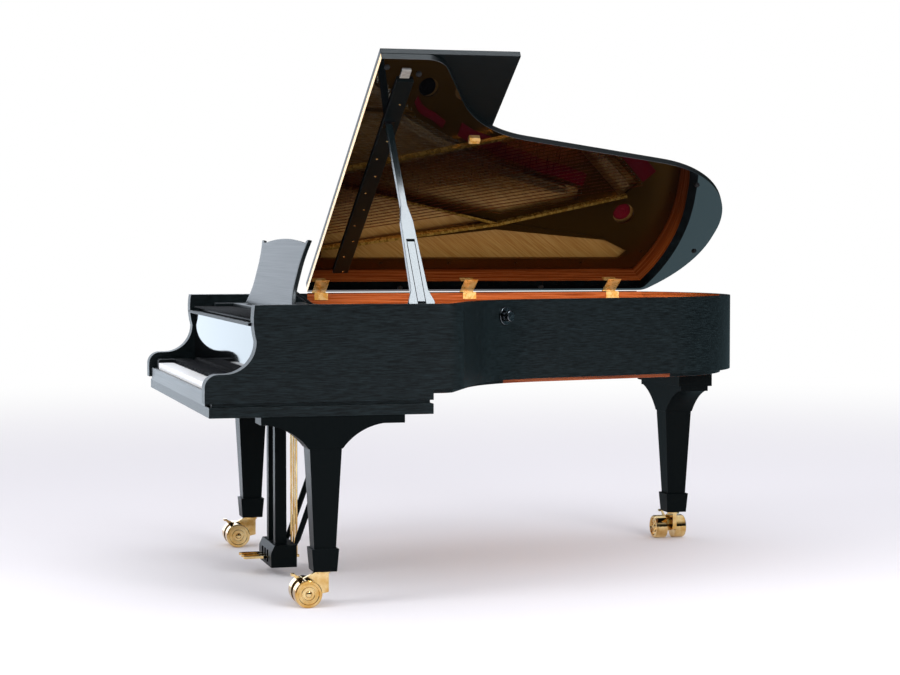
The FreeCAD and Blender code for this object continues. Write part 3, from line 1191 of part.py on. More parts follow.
def make_pedal(name, index):
    """Brass pedal on its pivot, and the rod that its tail pushes up."""
    x, half = index * D.pedal_pitch, D.pedal_width / 2
    pedal = new_body(f"{name}_pedal")
    tip, end = D.pedal_tip_at, D.pedal_end_at
    neck = D.lyre_front_at - D.slot_width / 2
    plan = rounded([
        (x - half, tip, half * 0.9), (x + half, tip, half * 0.9), (x + half, neck, half), (x + half / 2, neck + half, half),
        (x + half / 2, end, 0), (x - half / 2, end, 0), (x - half / 2, neck + half, half), (x - half, neck, half),
    ])
    pad(pedal, "XY_Plane", plan, "pedal_thickness", "pedal_height")
    pivot_z = D.pedal_height + D.pedal_thickness / 2
    shift = f"{index} * pedal_pitch - pedal_width / 2"
    pad(pedal, "YZ_Plane", circle(D.pedal_pivot_at, pivot_z, D.pedal_hub), "pedal_width", shift)
    pocket(pedal, "YZ_Plane", circle(D.pedal_pivot_at, pivot_z, D.pedal_pin_radius + D.running_gap), "pedal_width", shift)
    finish(pedal, f"{name}_pedal")
    rod = new_body(f"{name}_pedal_rod")
    foot = "pedal_height + pedal_thickness + seat_gap"
    pad(rod, "XY_Plane", circle(x, D.rod_at, D.rod_radius), f"rod_top - ({foot})", foot)
    finish(rod, f"{name}_pedal_rod")


def build():
    for make in (make_outer_rim, make_inner_rim, make_key_bed, make_key_boards, make_case_beams, make_soundboard,
                 make_soundboard_ribs, make_bridges, make_iron_plate, make_pin_block,
                 make_tuning_pins, make_strings, make_keys, make_action_frame, make_hammers, make_dampers,
                 make_fallboard, make_desk, make_lid, make_lid_flap, make_lid_fittings, make_props,
                 make_lock_knob, make_front_legs, make_rear_leg, make_lyre, make_lyre_braces):
        make()
    for caster in CASTERS:
        make_caster(*caster)
    for index, name in enumerate(("left", "middle", "right")):
        make_pedal(name, index - 1)
    doc.recompute()


def export():
    """Write each piece to a file of its own name, once all of them are sound."""
    for item in doc.Objects:
        if "Invalid" in item.State or "Error" in item.State:
            raise RuntimeError(f"{item.Label} failed: {item.State}")
    for piece in pieces:
        if piece.Shape.isNull() or not piece.Shape.isValid() or not piece.Shape.Solids:
            raise RuntimeError(f"{piece.Label} has no sound shape")
    os.makedirs("parts", exist_ok=True)
    for piece in pieces:
        piece.Shape.exportStep(f"parts/{piece.Label}.step")
        print(piece.Label, len(piece.Shape.Solids), "solids", round(piece.Shape.Volume / 1000), "cm3")


build()
export()
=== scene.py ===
# %% [markdown]
# # A grand piano with its lid propped open
# The load-bearing pieces come from the CAD frame and stay where they are. This script gives them
# their finishes, softens their edges, and adds the small things that a designer leaves out of the
# solids: felt, pins, screws and rubber feet.

# %% Load the frame
import bmesh
import bpy
import math
from mathutils import Matrix, Vector
from mathutils.bvhtree import BVHTree


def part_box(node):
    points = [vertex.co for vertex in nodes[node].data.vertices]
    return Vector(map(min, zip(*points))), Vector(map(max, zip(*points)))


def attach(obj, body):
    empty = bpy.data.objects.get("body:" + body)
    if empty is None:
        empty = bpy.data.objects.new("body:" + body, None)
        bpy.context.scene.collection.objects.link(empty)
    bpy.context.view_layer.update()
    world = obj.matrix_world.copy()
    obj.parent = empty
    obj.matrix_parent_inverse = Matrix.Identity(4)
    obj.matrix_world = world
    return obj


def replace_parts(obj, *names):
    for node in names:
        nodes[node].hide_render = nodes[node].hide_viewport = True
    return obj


MM = 0.001
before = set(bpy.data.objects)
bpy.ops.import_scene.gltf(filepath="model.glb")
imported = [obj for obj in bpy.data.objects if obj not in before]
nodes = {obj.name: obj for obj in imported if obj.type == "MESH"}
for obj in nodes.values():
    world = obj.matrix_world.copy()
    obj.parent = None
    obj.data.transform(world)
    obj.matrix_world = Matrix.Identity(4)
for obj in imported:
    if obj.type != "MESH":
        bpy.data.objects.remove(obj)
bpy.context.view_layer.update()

# %% [markdown]
# ## Colours and shader nodes
# Colours are given as sRGB hex values, but shaders work in linear light, so one function
# converts them. A second small function adds any shader node with its settings and links. Nodes
# could also be laid by hand in the shader editor, but a script can be read and run again.

# %% Helpers for materials


def linear(hex_colour):
    """An sRGB hex colour as the linear RGBA that a shader socket takes, by the sRGB standard."""
    channels = [int(hex_colour[i:i + 2], 16) / 255 for i in (1, 3, 5)]
    return [c / 12.92 if c <= 0.04045 else ((c + 0.055) / 1.055) ** 2.4 for c in channels] + [1.0]


def add_node(tree, kind, links=None, **settings):
    """Add a shader node. Settings name its properties or inputs, links the sockets that feed it."""
    node = tree.nodes.new(kind)
    for name, value in settings.items():
        if hasattr(node, name):
            setattr(node, name, value)
        else:
            node.inputs[name.replace("_", " ")].default_value = value
    for name, socket in (links or {}).items():
        tree.links.new(socket, node.inputs[name])
    return node


def new_material(name, colour, roughness, metallic=0.0, **sockets):
    """A material with one principled shader. It returns the material, its tree and the shader."""
    material = bpy.data.materials.new(name)
    material.use_nodes = True
    tree = material.node_tree
    shader = tree.nodes["Principled BSDF"]
    shader.inputs["Base Color"].default_value = linear(colour)
    shader.inputs["Roughness"].default_value = roughness
    shader.inputs["Metallic"].default_value = metallic
    for socket, value in sockets.items():
        shader.inputs[socket.replace("_", " ")].default_value = value
    print("finish:", name)
    return material, tree, shader


# %% [markdown]
# ## One worked surface
# On a real surface tone, gloss and relief change together: where grain is darker, it also lies
# deeper and shines in another way. So one noise drives all three. They could be painted as images,
# but noise has no edges and needs no unwrapping. Stretched along an axis, it becomes grain.

# %% Tone, gloss and relief from one noise


def worked_surface(name, dark, light, size, rough, relief, stretch=(1, 1, 1), turn=0.0,
                   spread=(0.35, 0.65), metallic=0.0, **sockets):
    """A material whose tone, gloss and relief follow one noise of a size in metres."""
    material, tree, shader = new_material(name, light, rough[0], metallic, **sockets)
    place = add_node(tree, "ShaderNodeTexCoord")
    turned = add_node(tree, "ShaderNodeMapping", {"Vector": place.outputs["Object"]},
                      Rotation=(0, 0, turn))
    fineness = [1 / (size * times) for times in stretch]
    scaled = add_node(tree, "ShaderNodeMapping", {"Vector": turned.outputs[0]}, Scale=fineness)
    pattern = add_node(tree, "ShaderNodeTexNoise", {"Vector": scaled.outputs[0]},
                       Scale=1.0, Detail=3.0, Roughness=0.6)
    tones = add_node(tree, "ShaderNodeValToRGB", {"Fac": pattern.outputs["Fac"]})
    for stop, position, colour in zip(tones.color_ramp.elements, spread, (dark, light)):
        stop.position = position
        stop.color = linear(colour)
    tree.links.new(tones.outputs["Color"], shader.inputs["Base Color"])
    gloss = add_node(tree, "ShaderNodeMapRange", {"Value": pattern.outputs["Fac"]},
                     From_Min=spread[0], From_Max=spread[1], To_Min=rough[0], To_Max=rough[1])
    tree.links.new(gloss.outputs[0], shader.inputs["Roughness"])
    bump = add_node(tree, "ShaderNodeBump", {"Height": pattern.outputs["Fac"]},
                    Strength=0.6, Distance=relief)
    tree.links.new(bump.outputs["Normal"], shader.inputs["Normal"])
    return material


# %% [markdown]
# ## Ebonised open-pore veneer
# The case is veneered in a coarse-grained wood, stained black and finished satin, so short dashes
# of open pores still show. Modelled, they would take millions of faces, so noise stretched along
# the grain draws them. Real pores are a third of a millimetre wide, too fine for this picture, so
# they are drawn about seven times as coarse. Each board needs its grain another way round.

# %% Veneer
PORE_WIDTH = 2.2 * MM
PORE_TIMES, STRAIGHT_TIMES = 18, 300


def ebonised_veneer(name, grain, light="#1d282b", rough=(0.38, 0.48), shine=0.15,
                    times=PORE_TIMES, relief=0.2 * MM):
    """Black satin veneer with its pores along one axis, or in the plane of two axes."""
    stretch = [times if axis in grain else 1 for axis in "xyz"]
    return worked_surface(name, "#050a0b", light, PORE_WIDTH, rough, relief, stretch,
                          spread=(0.38, 0.8), Specular_IOR_Level=shine)


# Grey dashes that run level round the bent case.
level_veneer = ebonised_veneer("ebonised veneer, level grain", "xy")
# Long straight lines from side to side, under a soft shine.
cross_veneer = ebonised_veneer("ebonised veneer, straight cross grain", "x", shine=0.42,
                               times=STRAIGHT_TIMES, relief=0.1 * MM)
# A darker board whose dashes run from front to back.
length_veneer = ebonised_veneer("ebonised veneer, long grain", "y", "#12181a")
# Almost plain black with hardly any shine: a darker copy of the veneer, painted shade for what
# stands upright in the shade.
shaded_upright_veneer = ebonised_veneer("ebonised veneer, upright grain, painted shade", "z", "#090d0e", shine=0.05)
# Grey with long highlights, where hands have rubbed the prop.
prop_veneer = ebonised_veneer("ebonised veneer, rubbed to a shine", "z", rough=(0.16, 0.24),
                              shine=0.55)

# %% [markdown]
# ## Polished lacquer
# The lid's underside and the fallboard are rubbed to a mirror. Deep black lacquer has hardly any
# colour of its own: what shows is what it reflects, so it gets almost no roughness. A coat over a
# base could do this too, but one smooth layer is all that the eye sees. A trace of relief stands
# for the last ripple of polishing.

# %% Lacquer
# A dark mirror. Its high index of refraction shows the strings even where it is seen straight on.
mirror_lacquer = worked_surface("black lacquer, mirror polished", "#040405", "#060607", 60 * MM,
                                (0.004, 0.01), 0.004 * MM, IOR=2.45)
# A softer black mirror that whitens only at a slant.
fall_lacquer = worked_surface("black lacquer, hand rubbed", "#050506", "#08080a", 40 * MM,
                              (0.03, 0.05), 0.01 * MM, IOR=1.28)
# Small bright highlights on black.
gloss_black = worked_surface("black gloss enamel", "#08080a", "#111113", 8 * MM, (0.14, 0.24),
                             0.05 * MM)

# %% [markdown]
# ## Woods inside the case
# Mahogany lines the rim and spruce makes the soundboard, whose boards are glued side by side on the
# slant. Wave textures could draw rings, but they look too even. The stretched noise draws the
# mahogany's streaks and the spruce's narrow rings, each at its own width.

# %% Mahogany, spruce and maple
SOUNDBOARD_SLANT = math.radians(-38)
# Warm red-brown streaks that run level along the lining, under clear varnish.
mahogany = worked_surface("mahogany, varnished", "#78310f", "#b05622", 7 * MM, (0.2, 0.32),
                          0.1 * MM, (40, 40, 1))
# Honey-coloured lines as wide as a year's growth, on the slant.
spruce = worked_surface("spruce, varnished", "#b67c36", "#dba85e", 3 * MM, (0.28, 0.4), 0.1 * MM,
                        (1, 50, 1), SOUNDBOARD_SLANT)
# Paler, closer and calmer than the mahogany.
maple = worked_surface("maple, varnished", "#a27845", "#c99f69", 4 * MM, (0.3, 0.42), 0.1 * MM,
                       (30, 1, 1))

# %% [markdown]
# ## Metals
# The plate is sand-cast iron under bronze lacquer, so its gold is soft and pebbled. Casters and
# pedals are turned and polished brass, with the faint clouding that hands leave. A plain metal
# would look like plastic film, so each gets a noise as large as its own marks. Treble strings are
# bare steel, and bass strings are wound with copper.

# %% Cast iron and brass
# A pebbled, dull gold. The sand's grain is drawn several times as coarse, to show at all.
gilded_iron = worked_surface("cast iron, bronze lacquered", "#6b4818", "#8a6226", 2.5 * MM,
                             (0.28, 0.4), 0.15 * MM, metallic=0.9)
# The same gold, smoother and brighter, as a painted highlight on the tops of the bars.
highlighted_iron = worked_surface("cast iron, bronze lacquered, painted highlight", "#bd8830", "#d9a94f",
                                20 * MM, (0.22, 0.32), 0.05 * MM, metallic=0.6)
# Clear yellow reflections, clouded here and there.
brass = worked_surface("brass, turned and polished", "#d4a65a", "#f2d9a0", 45 * MM, (0.08, 0.15),
                       0.02 * MM, metallic=1.0)
# Painted light: an even yellow, paler and less metallic than brass, that stays light from any side,
# even in the lid's shade.
lightened_brass = worked_surface("brass, rolled, painted lighter", "#eda94a", "#ffd893", 30 * MM,
                             (0.24, 0.32), 0.02 * MM, metallic=0.3)

# %% Nickel, steel and copper
# A warm white with sharp highlights.
nickel = worked_surface("nickel plate, polished", "#d6d4cc", "#f4f2ec", 10 * MM, (0.1, 0.22),
                        0.02 * MM, metallic=0.7)
# Dark grey with a bright rim.
gunmetal = worked_surface("steel, blued and polished", "#3b3f42", "#777c80", 9 * MM, (0.14, 0.26),
                          0.03 * MM, metallic=1.0)
# Thin grey lines with a long glint. The drawing marks are coarser than life, to show at all.
steel = worked_surface("steel wire, drawn", "#a5a29a", "#cfccc4", 4 * MM, (0.2, 0.34), 0.02 * MM,
                       (1, 12, 1), metallic=1.0)
# Reddish bands, which stand for turns of winding. Real turns are a third as wide.
copper = worked_surface("copper wire, wound", "#8a4c28", "#c87c4c", 3 * MM, (0.26, 0.4), 0.2 * MM,
                        (20, 1, 20), metallic=1.0)

# %% [markdown]
# ## Keys, felt and rubber
# White keys are a smooth acrylic, hazed a little by playing, and sharps are black with a duller,
# brushed surface. Felt is pressed wool, dyed red or black. Hair could be grown on it, but at this
# size felt is only a rough, soft surface, so its fibres are drawn as relief, coarser than life.

# %% Plastics, felt and rubber
# Clean white with a soft glow along the key.
key_white = worked_surface("acrylic, white", "#eeedea", "#f9f9fb", 20 * MM, (0.34, 0.46), 0.02 * MM,
                           (1, 6, 1), Specular_IOR_Level=0.12)
# Dull black, brushed along the key so that fingers don't slip.
key_black = worked_surface("phenolic resin, black", "#060608", "#121216", 1.5 * MM, (0.5, 0.64),
                           0.05 * MM, (1, 20, 1), Specular_IOR_Level=0.03)
# A black that swallows the light.
black_felt = worked_surface("wool felt, black", "#040405", "#0e0e10", 2.5 * MM, (0.86, 0.98),
                            0.6 * MM, Specular_IOR_Level=0.1)
# A deep, matt red with darker flecks.
red_felt = worked_surface("wool felt, red", "#4c0512", "#a51228", 2.5 * MM, (0.86, 0.98), 0.6 * MM,
                          Specular_IOR_Level=0.2)
# Grey-black with a broad, weak highlight.
rubber = worked_surface("rubber, moulded", "#070708", "#161618", 1.5 * MM, (0.55, 0.75), 0.1 * MM)

# %% [markdown]
# ## Dressing the frame
# Real edges are never razor sharp: a bevel of a millimetre or so catches the light. The edges could
# be rounded in CAD, but that makes heavy solids. The CAD meshes are loose triangles, so they are
# welded and their flat faces rejoined before the bevel, all with live modifiers.

# %% Soften edges
WELD_DISTANCE, FLAT_WITHIN, SHARP_OVER = 0.01 * MM, math.radians(0.5), math.radians(35)


def soften(node, width, segments):
    """Round a node's edges with live modifiers, leaving its own mesh alone."""
    weld = node.modifiers.new("weld", "WELD")
    weld.merge_threshold = WELD_DISTANCE
    flat = node.modifiers.new("flat faces", "DECIMATE")
    flat.decimate_type = "DISSOLVE"
    flat.angle_limit = FLAT_WITHIN
    edge = node.modifiers.new("soft edge", "BEVEL")
    edge.width = width
    edge.segments = segments
    edge.limit_method = "ANGLE"
    edge.angle_limit = SHARP_OVER
    node.modifiers.new("flat shading", "WEIGHTED_NORMAL").weight = 100
    node.data.shade_smooth()


# %% [markdown]
# Each node gets its finish by name, with the width of its softened edge in millimetres. Keys are
# white or black by their names, and what the list leaves out, pedals and casters, is brass. A wide
# edge needs more segments to look round. Wires and the ribbed knob are left as they are.

# %% Give every node its finish
FINISHES = {
    "outer_rim": (level_veneer, 1.5), "key_bed": (level_veneer, 1.5),
    "key_slip": (cross_veneer, 1.0), "key_blocks": (length_veneer, 1.0),
    "fallboard": (fall_lacquer, 1.0), "desk_tray": (cross_veneer, 1.5),
    "music_desk": (cross_veneer, 1.5), "desk_strut": (cross_veneer, 0.8),
    "lid": (length_veneer, 8.0), "lid_flap": (length_veneer, 3.0),
    "lid_batten": (length_veneer, 1.0), "lid_prop": (prop_veneer, 1.2),
    "short_prop": (prop_veneer, 0.6), "front_legs": (shaded_upright_veneer, 2.0),
    "rear_leg": (shaded_upright_veneer, 2.0), "pedal_lyre": (shaded_upright_veneer, 1.5),
    "lyre_braces": (shaded_upright_veneer, 0.8), "lock_knob": (gunmetal, 0),
    "inner_rim": (mahogany, 1.0), "soundboard": (spruce, 0.5), "soundboard_ribs": (spruce, 0.8),
    "case_beams": (spruce, 1.5), "bridges": (maple, 0.8), "pin_block": (maple, 0.8),
    "action_frame": (maple, 0.5), "hammers": (maple, 0.3), "dampers": (gloss_black, 0.5),
    "iron_plate": (gilded_iron, 1.0), "tuning_pins": (steel, 0), "plain_strings": (steel, 0),
    "wound_strings": (copper, 0), "rim_hinges": (lightened_brass, 0.4),
    "lid_fittings": (lightened_brass, 0.4),
}
SHARP_FINISH, WHITE_FINISH, OTHER_FINISH = (key_black, 1.0), (key_white, 0.6), (brass, 0.5)
WIDE_EDGE = 5
for name, node in nodes.items():
    if name.startswith("keys_"):
        finish, edge = SHARP_FINISH if name.endswith("sharp") else WHITE_FINISH
    else:
        finish, edge = FINISHES.get(name, OTHER_FINISH)
    node.data.materials.clear()
    node.data.materials.append(finish)
    if edge:
        soften(node, edge * MM, 5 if edge > WIDE_EDGE else 2)
print("dressed", len(nodes), "nodes")

# %% [markdown]
# ## Faces with a second finish
# One board can wear two finishes. The lid is satin above and a mirror below, and a long folding
# hinge runs along its front edge. It could be cut in two, but each polygon of a mesh keeps the
# number of its material, so the faces are picked by where they lie and which way they look.

# %% The lid's mirror and hinge
LID_ANGLE = math.radians(32)
# Cosines of the angle between a face's normal and the way it should look.
SQUARE_ON, MOSTLY = 0.99, 0.9
lid_down = Vector((math.sin(LID_ANGLE), 0, -math.cos(LID_ANGLE)))


def paint_faces(name, material, chosen):
    """Give some faces of a node a second finish. chosen takes a face's centre and its normal."""
    mesh = nodes[name].data
    mesh.materials.append(material)
    index = len(mesh.materials) - 1
    count = 0
    for face in mesh.polygons:
        if chosen(face.center, face.normal):
            face.material_index = index
            count += 1
    print(name, count, "faces in", material.name)


paint_faces("lid", mirror_lacquer, lambda centre, normal: normal.dot(lid_down) > SQUARE_ON)
paint_faces("lid", lightened_brass, lambda centre, normal: normal.y < -MOSTLY)

# %% [markdown]
# The rim is lined with mahogany behind the belly rail. A face that looks towards the middle of the
# case belongs to the lining. The inner rim's outer side is black where its lining can't be seen.

# %% The rim's lining
INTERIOR_MIDDLE = Vector((-0.25, 0.1, 0))
SHOWN_LINING = (0.02, 0.62)
# A face counts as upright while its normal rises less than this.
UPRIGHT = 0.5
belly_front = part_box("soundboard")[0].y


def inward(centre, normal):
    """More than nothing where a face looks towards the middle of the case."""
    return normal.dot(INTERIOR_MIDDLE - Vector((centre.x, centre.y, 0)))


paint_faces("outer_rim", mahogany, lambda centre, normal: (
    abs(normal.z) < UPRIGHT and centre.y > belly_front and inward(centre, normal) > 0))
paint_faces("inner_rim", level_veneer, lambda centre, normal: (
    not SHOWN_LINING[0] < centre.y < SHOWN_LINING[1] and inward(centre, normal) < 0))

# %% [markdown]
# The tops of the plate's raised bars get a painted highlight, brighter than the web, and the
# fallboard's lip is veneered. Two of the lid's fittings aren't brass: the prop's socket is
# enamelled and the catch plate is nickel.

# %% Plate, fallboard and lid fittings
PLATE_WEB_TOP, LIP_FOOT = 0.905, 0.925
PROP_SOCKET_X, CATCH_PLATE_X = (0.2, 0.26), 0.45
# A painted highlight: the plate's faces above the web are a brighter gold.
paint_faces("iron_plate", highlighted_iron, lambda centre, normal: centre.z > PLATE_WEB_TOP)
paint_faces("fallboard", shaded_upright_veneer, lambda centre, normal: centre.z > LIP_FOOT)
paint_faces("lid_fittings", gloss_black, lambda centre, normal: (
    PROP_SOCKET_X[0] < centre.x < PROP_SOCKET_X[1]))
paint_faces("lid_fittings", nickel, lambda centre, normal: centre.x > CATCH_PLATE_X)

# %% [markdown]
# ## Making new pieces
# The small pieces are modelled with bmesh operators, which need no window and no selection. Each
# ends the same way: doubled points are merged, faces are turned outwards, sharp edges stay sharp
# under smooth shading, and the object is told which body carries it.

# %% Finish a piece
MERGE_DISTANCE, CREASE_ANGLE = 0.001 * MM, math.radians(40)


def finished_mesh(name, mesh):
    """Turn a bmesh into mesh data and let the bmesh go."""
    data = bpy.data.meshes.new(name)
    mesh.to_mesh(data)
    mesh.free()
    return data


def linked_object(name, data):
    """An object in the scene that holds some data."""
    piece = bpy.data.objects.new(name, data)
    bpy.context.collection.objects.link(piece)
    return piece


def new_piece(name, mesh, body, material):
    """Close a bmesh into an object that wears a material and rides on a body."""
    bmesh.ops.remove_doubles(mesh, verts=mesh.verts, dist=MERGE_DISTANCE)
    bmesh.ops.recalc_face_normals(mesh, faces=mesh.faces)
    data = finished_mesh(name, mesh)
    data.shade_smooth()
    data.set_sharp_from_angle(angle=CREASE_ANGLE)
    data.materials.append(material)
    piece = linked_object(name, data)
    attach(piece, body)
    print(name, len(data.polygons), "faces on", body)
    return piece


# %% [markdown]
# ## The music tray
# The tray's board ends in two rounded ears that reach forward beside the lip of the fallboard, and
# between them a dark slot stays open for the lip. It could be cut from a board with a boolean, but
# extruding keeps every face clean. A flat grid of three columns gives the board, the front edges of
# the outer columns are extruded into ears, and the whole is extruded upwards and bevelled.

# %% Helpers for extruding and rounding
CORNER_ANGLE = math.radians(60)


def moved(geometry):
    """The points among the geometry that an operator has made."""
    return [item for item in geometry if isinstance(item, bmesh.types.BMVert)]


def corner_edges(mesh):
    """The edges where faces meet at a corner."""
    return [edge for edge in mesh.edges if edge.calc_face_angle(0) > CORNER_ANGLE]


def round_edges(mesh, edges, width, segments=2):
    """Bevel some edges to a round. It returns what the bevel has made."""
    return bmesh.ops.bevel(mesh, geom=edges, offset=width, offset_type="OFFSET", affect="EDGES",
                           segments=segments, profile=0.5, material=-1)


# %% Tray
TRAY_SET_BACK, TRAY_END_GAP, TRAY_EDGE = 145 * MM, 18 * MM, 2.5 * MM
EAR_WIDTH, EAR_LENGTH, EAR_CORNER = 75 * MM, 70 * MM, 34 * MM
GRID_HALF, OUTER_COLUMN = 0.5, 0.4
tray_low, tray_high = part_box("desk_tray")
tray_half, tray_front = tray_high.x - TRAY_END_GAP, tray_low.y + TRAY_SET_BACK
tray = bmesh.new()
bmesh.ops.create_grid(tray, x_segments=3, y_segments=1, size=GRID_HALF)
for point in tray.verts:
    reach = tray_half if abs(point.co.x) > OUTER_COLUMN else tray_half - EAR_WIDTH
    depth = tray_front if point.co.y < 0 else tray_high.y
    point.co = (math.copysign(reach, point.co.x), depth, tray_low.z)
ear_fronts = [edge for edge in tray.edges if edge.calc_length() < 2 * EAR_WIDTH
              and all(point.co.y < tray_front + MM for point in edge.verts)]
ears = bmesh.ops.extrude_edge_only(tray, edges=ear_fronts)["geom"]
bmesh.ops.translate(tray, verts=moved(ears), vec=(0, -EAR_LENGTH, 0))
lifted = bmesh.ops.extrude_face_region(tray, geom=tray.faces[:])["geom"]
bmesh.ops.translate(tray, verts=moved(lifted), vec=(0, 0, tray_high.z - tray_low.z))
bmesh.ops.recalc_face_normals(tray, faces=tray.faces)
ear_corners = [edge for edge in tray.edges if abs(edge.verts[0].co.z - edge.verts[1].co.z) > MM
               and all(point.co.y < tray_front - MM for point in edge.verts)]
round_edges(tray, ear_corners, EAR_CORNER, segments=10)
round_edges(tray, corner_edges(tray), TRAY_EDGE, segments=3)
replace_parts(new_piece("music_tray", tray, "tray", level_veneer), "desk_tray")

# %% [markdown]
# A ledge in black felt lies under the slot, so that no key shows through it from above. It is a
# cube, stretched between two corners and bevelled. A bevel modifier would do the same, but made at
# once it leaves a finished mesh, and later boards are made this way too.

# %% Tray ledge
LEDGE_THICK, LEDGE_LAP, LEDGE_FRONT_GAP, LEDGE_EDGE = 6 * MM, 12 * MM, 2 * MM, MM


def add_board(mesh, low, high, edge, turn=Matrix()):
    """Add a board between two corners with its edges bevelled, then turn it into place."""
    size = Vector(high) - Vector(low)
    middle = (Vector(high) + Vector(low)) / 2
    shape = Matrix.Translation(middle) @ Matrix.Diagonal(size.to_4d())
    points = bmesh.ops.create_cube(mesh, size=1.0, matrix=shape)["verts"]
    edges = list(dict.fromkeys(link for point in points for link in point.link_edges))
    bevelled = round_edges(mesh, edges, edge)
    grown = {point for face in bevelled["faces"] for point in face.verts}
    bmesh.ops.transform(mesh, matrix=turn, verts=list(grown))


ledge = bmesh.new()
add_board(ledge, (-tray_half, tray_low.y + LEDGE_FRONT_GAP, tray_low.z),
          (tray_half, tray_front + LEDGE_LAP, tray_low.z + LEDGE_THICK), LEDGE_EDGE)
new_piece("tray_ledge", ledge, "tray", black_felt)

# %% [markdown]
# ## The music desk
# The desk is one panel with a flared foot, a waist, an arched top and two small ears. Its outline
# could be drawn as a curve and filled, but a grid has even faces right up to its edge. So a flat
# grid is shaped row by row, extruded to a board and leaned back on its hinge.

# %% Desk
DESK_WAIST, FOOT_FLARE, EAR_FLARE = 408 * MM, 78 * MM, 50 * MM
DESK_SHOULDER, DESK_ARCH, DESK_EAR = 238 * MM, 17 * MM, 12 * MM
DESK_THICK, DESK_EDGE, DESK_TILT = 14 * MM, 2.5 * MM, math.radians(14.5)
# Shares of the height and of the half width, where the foot and the arch end and the ears begin.
FOOT_TOP, EARS_FROM, ARCH_END, EAR_INSIDE = 0.4, 0.6, 0.88, 0.9
desk_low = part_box("music_desk")[0]
desk = bmesh.new()
bmesh.ops.create_grid(desk, x_segments=32, y_segments=20, size=GRID_HALF)
for point in desk.verts:
    across, up = point.co.x / GRID_HALF, point.co.y + GRID_HALF
    foot_flare = FOOT_FLARE * max(0, 1 - up / FOOT_TOP) ** 2
    ear_flare = EAR_FLARE * max(0, (up - EARS_FROM) / (1 - EARS_FROM)) ** 2
    rise = DESK_EAR if abs(across) > EAR_INSIDE else DESK_ARCH * (1 - (across / ARCH_END) ** 2)
    half = DESK_WAIST + foot_flare + ear_flare
    point.co = (across * half, 0, up * DESK_SHOULDER + rise * up ** 3)
back = bmesh.ops.extrude_face_region(desk, geom=desk.faces[:])["geom"]
bmesh.ops.translate(desk, verts=moved(back), vec=(0, DESK_THICK, 0))
bmesh.ops.recalc_face_normals(desk, faces=desk.faces)
round_edges(desk, corner_edges(desk), DESK_EDGE, segments=3)
foot = Vector((0, desk_low.y, desk_low.z + DESK_THICK * math.sin(DESK_TILT)))
lean = Matrix.Translation(foot) @ Matrix.Rotation(-DESK_TILT, 4, "X")
bmesh.ops.transform(desk, matrix=lean, verts=desk.verts)
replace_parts(new_piece("waisted_desk", desk, "desk", cross_veneer), "music_desk")

# %% [markdown]
# ## Lyre braces
# Two black wooden rods brace the pedal lyre against the key bed. The frame's slim bars give their
# lines, and each rod is turned about that line: slim at the ends, where a pin holds it, and fuller
# in between. A cylinder could be scaled ring by ring, but spinning a profile works like a lathe.

# %% Helpers for bars and turned pieces
UP, DOWN = Vector((0, 0, 1)), Vector((0, 0, -1))


def separate_solids(name):
    """The separate solids of a node, each as a list of its points."""
    mesh = bmesh.new()
    mesh.from_mesh(nodes[name].data)
    bmesh.ops.remove_doubles(mesh, verts=mesh.verts, dist=WELD_DISTANCE)
    solids, seen = [], set()
    for start in mesh.verts:
        if start in seen:
            continue
        seen.add(start)
        waiting, solid = [start], []
        while waiting:
            point = waiting.pop()
            solid.append(point.co.copy())
            beside = [link.other_vert(point) for link in point.link_edges]
            fresh = [other for other in beside if other not in seen]
            seen.update(fresh)
            waiting.extend(fresh)
        solids.append(solid)
    mesh.free()
    return solids


def bar_ends(points, axis=1):
    """The middles of a straight bar's two ends, lowest first along an axis."""
    points = sorted(points, key=lambda point: point[axis])
    half = len(points) // 2
    return sum(points[:half], Vector()) / half, sum(points[half:], Vector()) / half


def spin_profile(mesh, profile, place, axis, steps=20):
    """Spin a profile of (radius, height) points about an axis through a place."""
    aim = UP.rotation_difference(Vector(axis)).to_matrix()
    points = [mesh.verts.new(Vector(place) + aim @ Vector((radius, 0, height)))
              for radius, height in profile]
    edges = [mesh.edges.new(pair) for pair in zip(points, points[1:])]
    bmesh.ops.spin(mesh, geom=points + edges, cent=place, axis=axis, angle=2 * math.pi,
                   steps=steps, use_merge=True)


# %% Braces
BRACE_DRAWN = 0.532
BRACE_PROFILE = ((0, 0), (0.006, 0), (0.0065, 0.012), (0.0105, 0.03), (0.0112, 0.25),
                 (0.0105, 0.5), (0.0065, 0.52), (0.006, BRACE_DRAWN), (0, BRACE_DRAWN))
braces = bmesh.new()
for solid in separate_solids("lyre_braces"):
    foot, head = bar_ends(solid, axis=2)
    stretch = (head - foot).length / BRACE_DRAWN
    profile = [(radius, height * stretch) for radius, height in BRACE_PROFILE]
    spin_profile(braces, profile, foot, (head - foot).normalized(), steps=16)
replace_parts(new_piece("lyre_rods", braces, "case", shaded_upright_veneer), "lyre_braces")

# %% [markdown]
# ## Where the strings end
# Each string runs over the bridge between two slanted pins and is looped round a hitch pin on the
# plate. The frame's strings are straight bars, so their two ends say where those pins go, and a ray
# cast downwards finds the plate below. The pins could be instances, but a piece has to be a mesh,
# so one small turned pin is copied to each place.

# %% Helpers for pins
surfaces = {}


def touch(name, start, direction):
    """Where a ray from a start first meets a node, or None."""
    if name not in surfaces:
        mesh = nodes[name].data
        surfaces[name] = BVHTree.FromPolygons([point.co for point in mesh.vertices],
                                              [face.vertices[:] for face in mesh.polygons])
    return surfaces[name].ray_cast(Vector(start), Vector(direction))[0]


def pin_pattern(name, profile, steps):
    """One pin as a mesh, to be copied to many places."""
    mesh = bmesh.new()
    spin_profile(mesh, profile, (0, 0, 0), UP, steps)
    return finished_mesh(name, mesh)


def copy_to(mesh, pattern, turn):
    """Add a copy of a small finished mesh to a bmesh, turned into its place."""
    copy = pattern.copy()
    copy.transform(turn)
    mesh.from_mesh(copy)
    bpy.data.meshes.remove(copy)


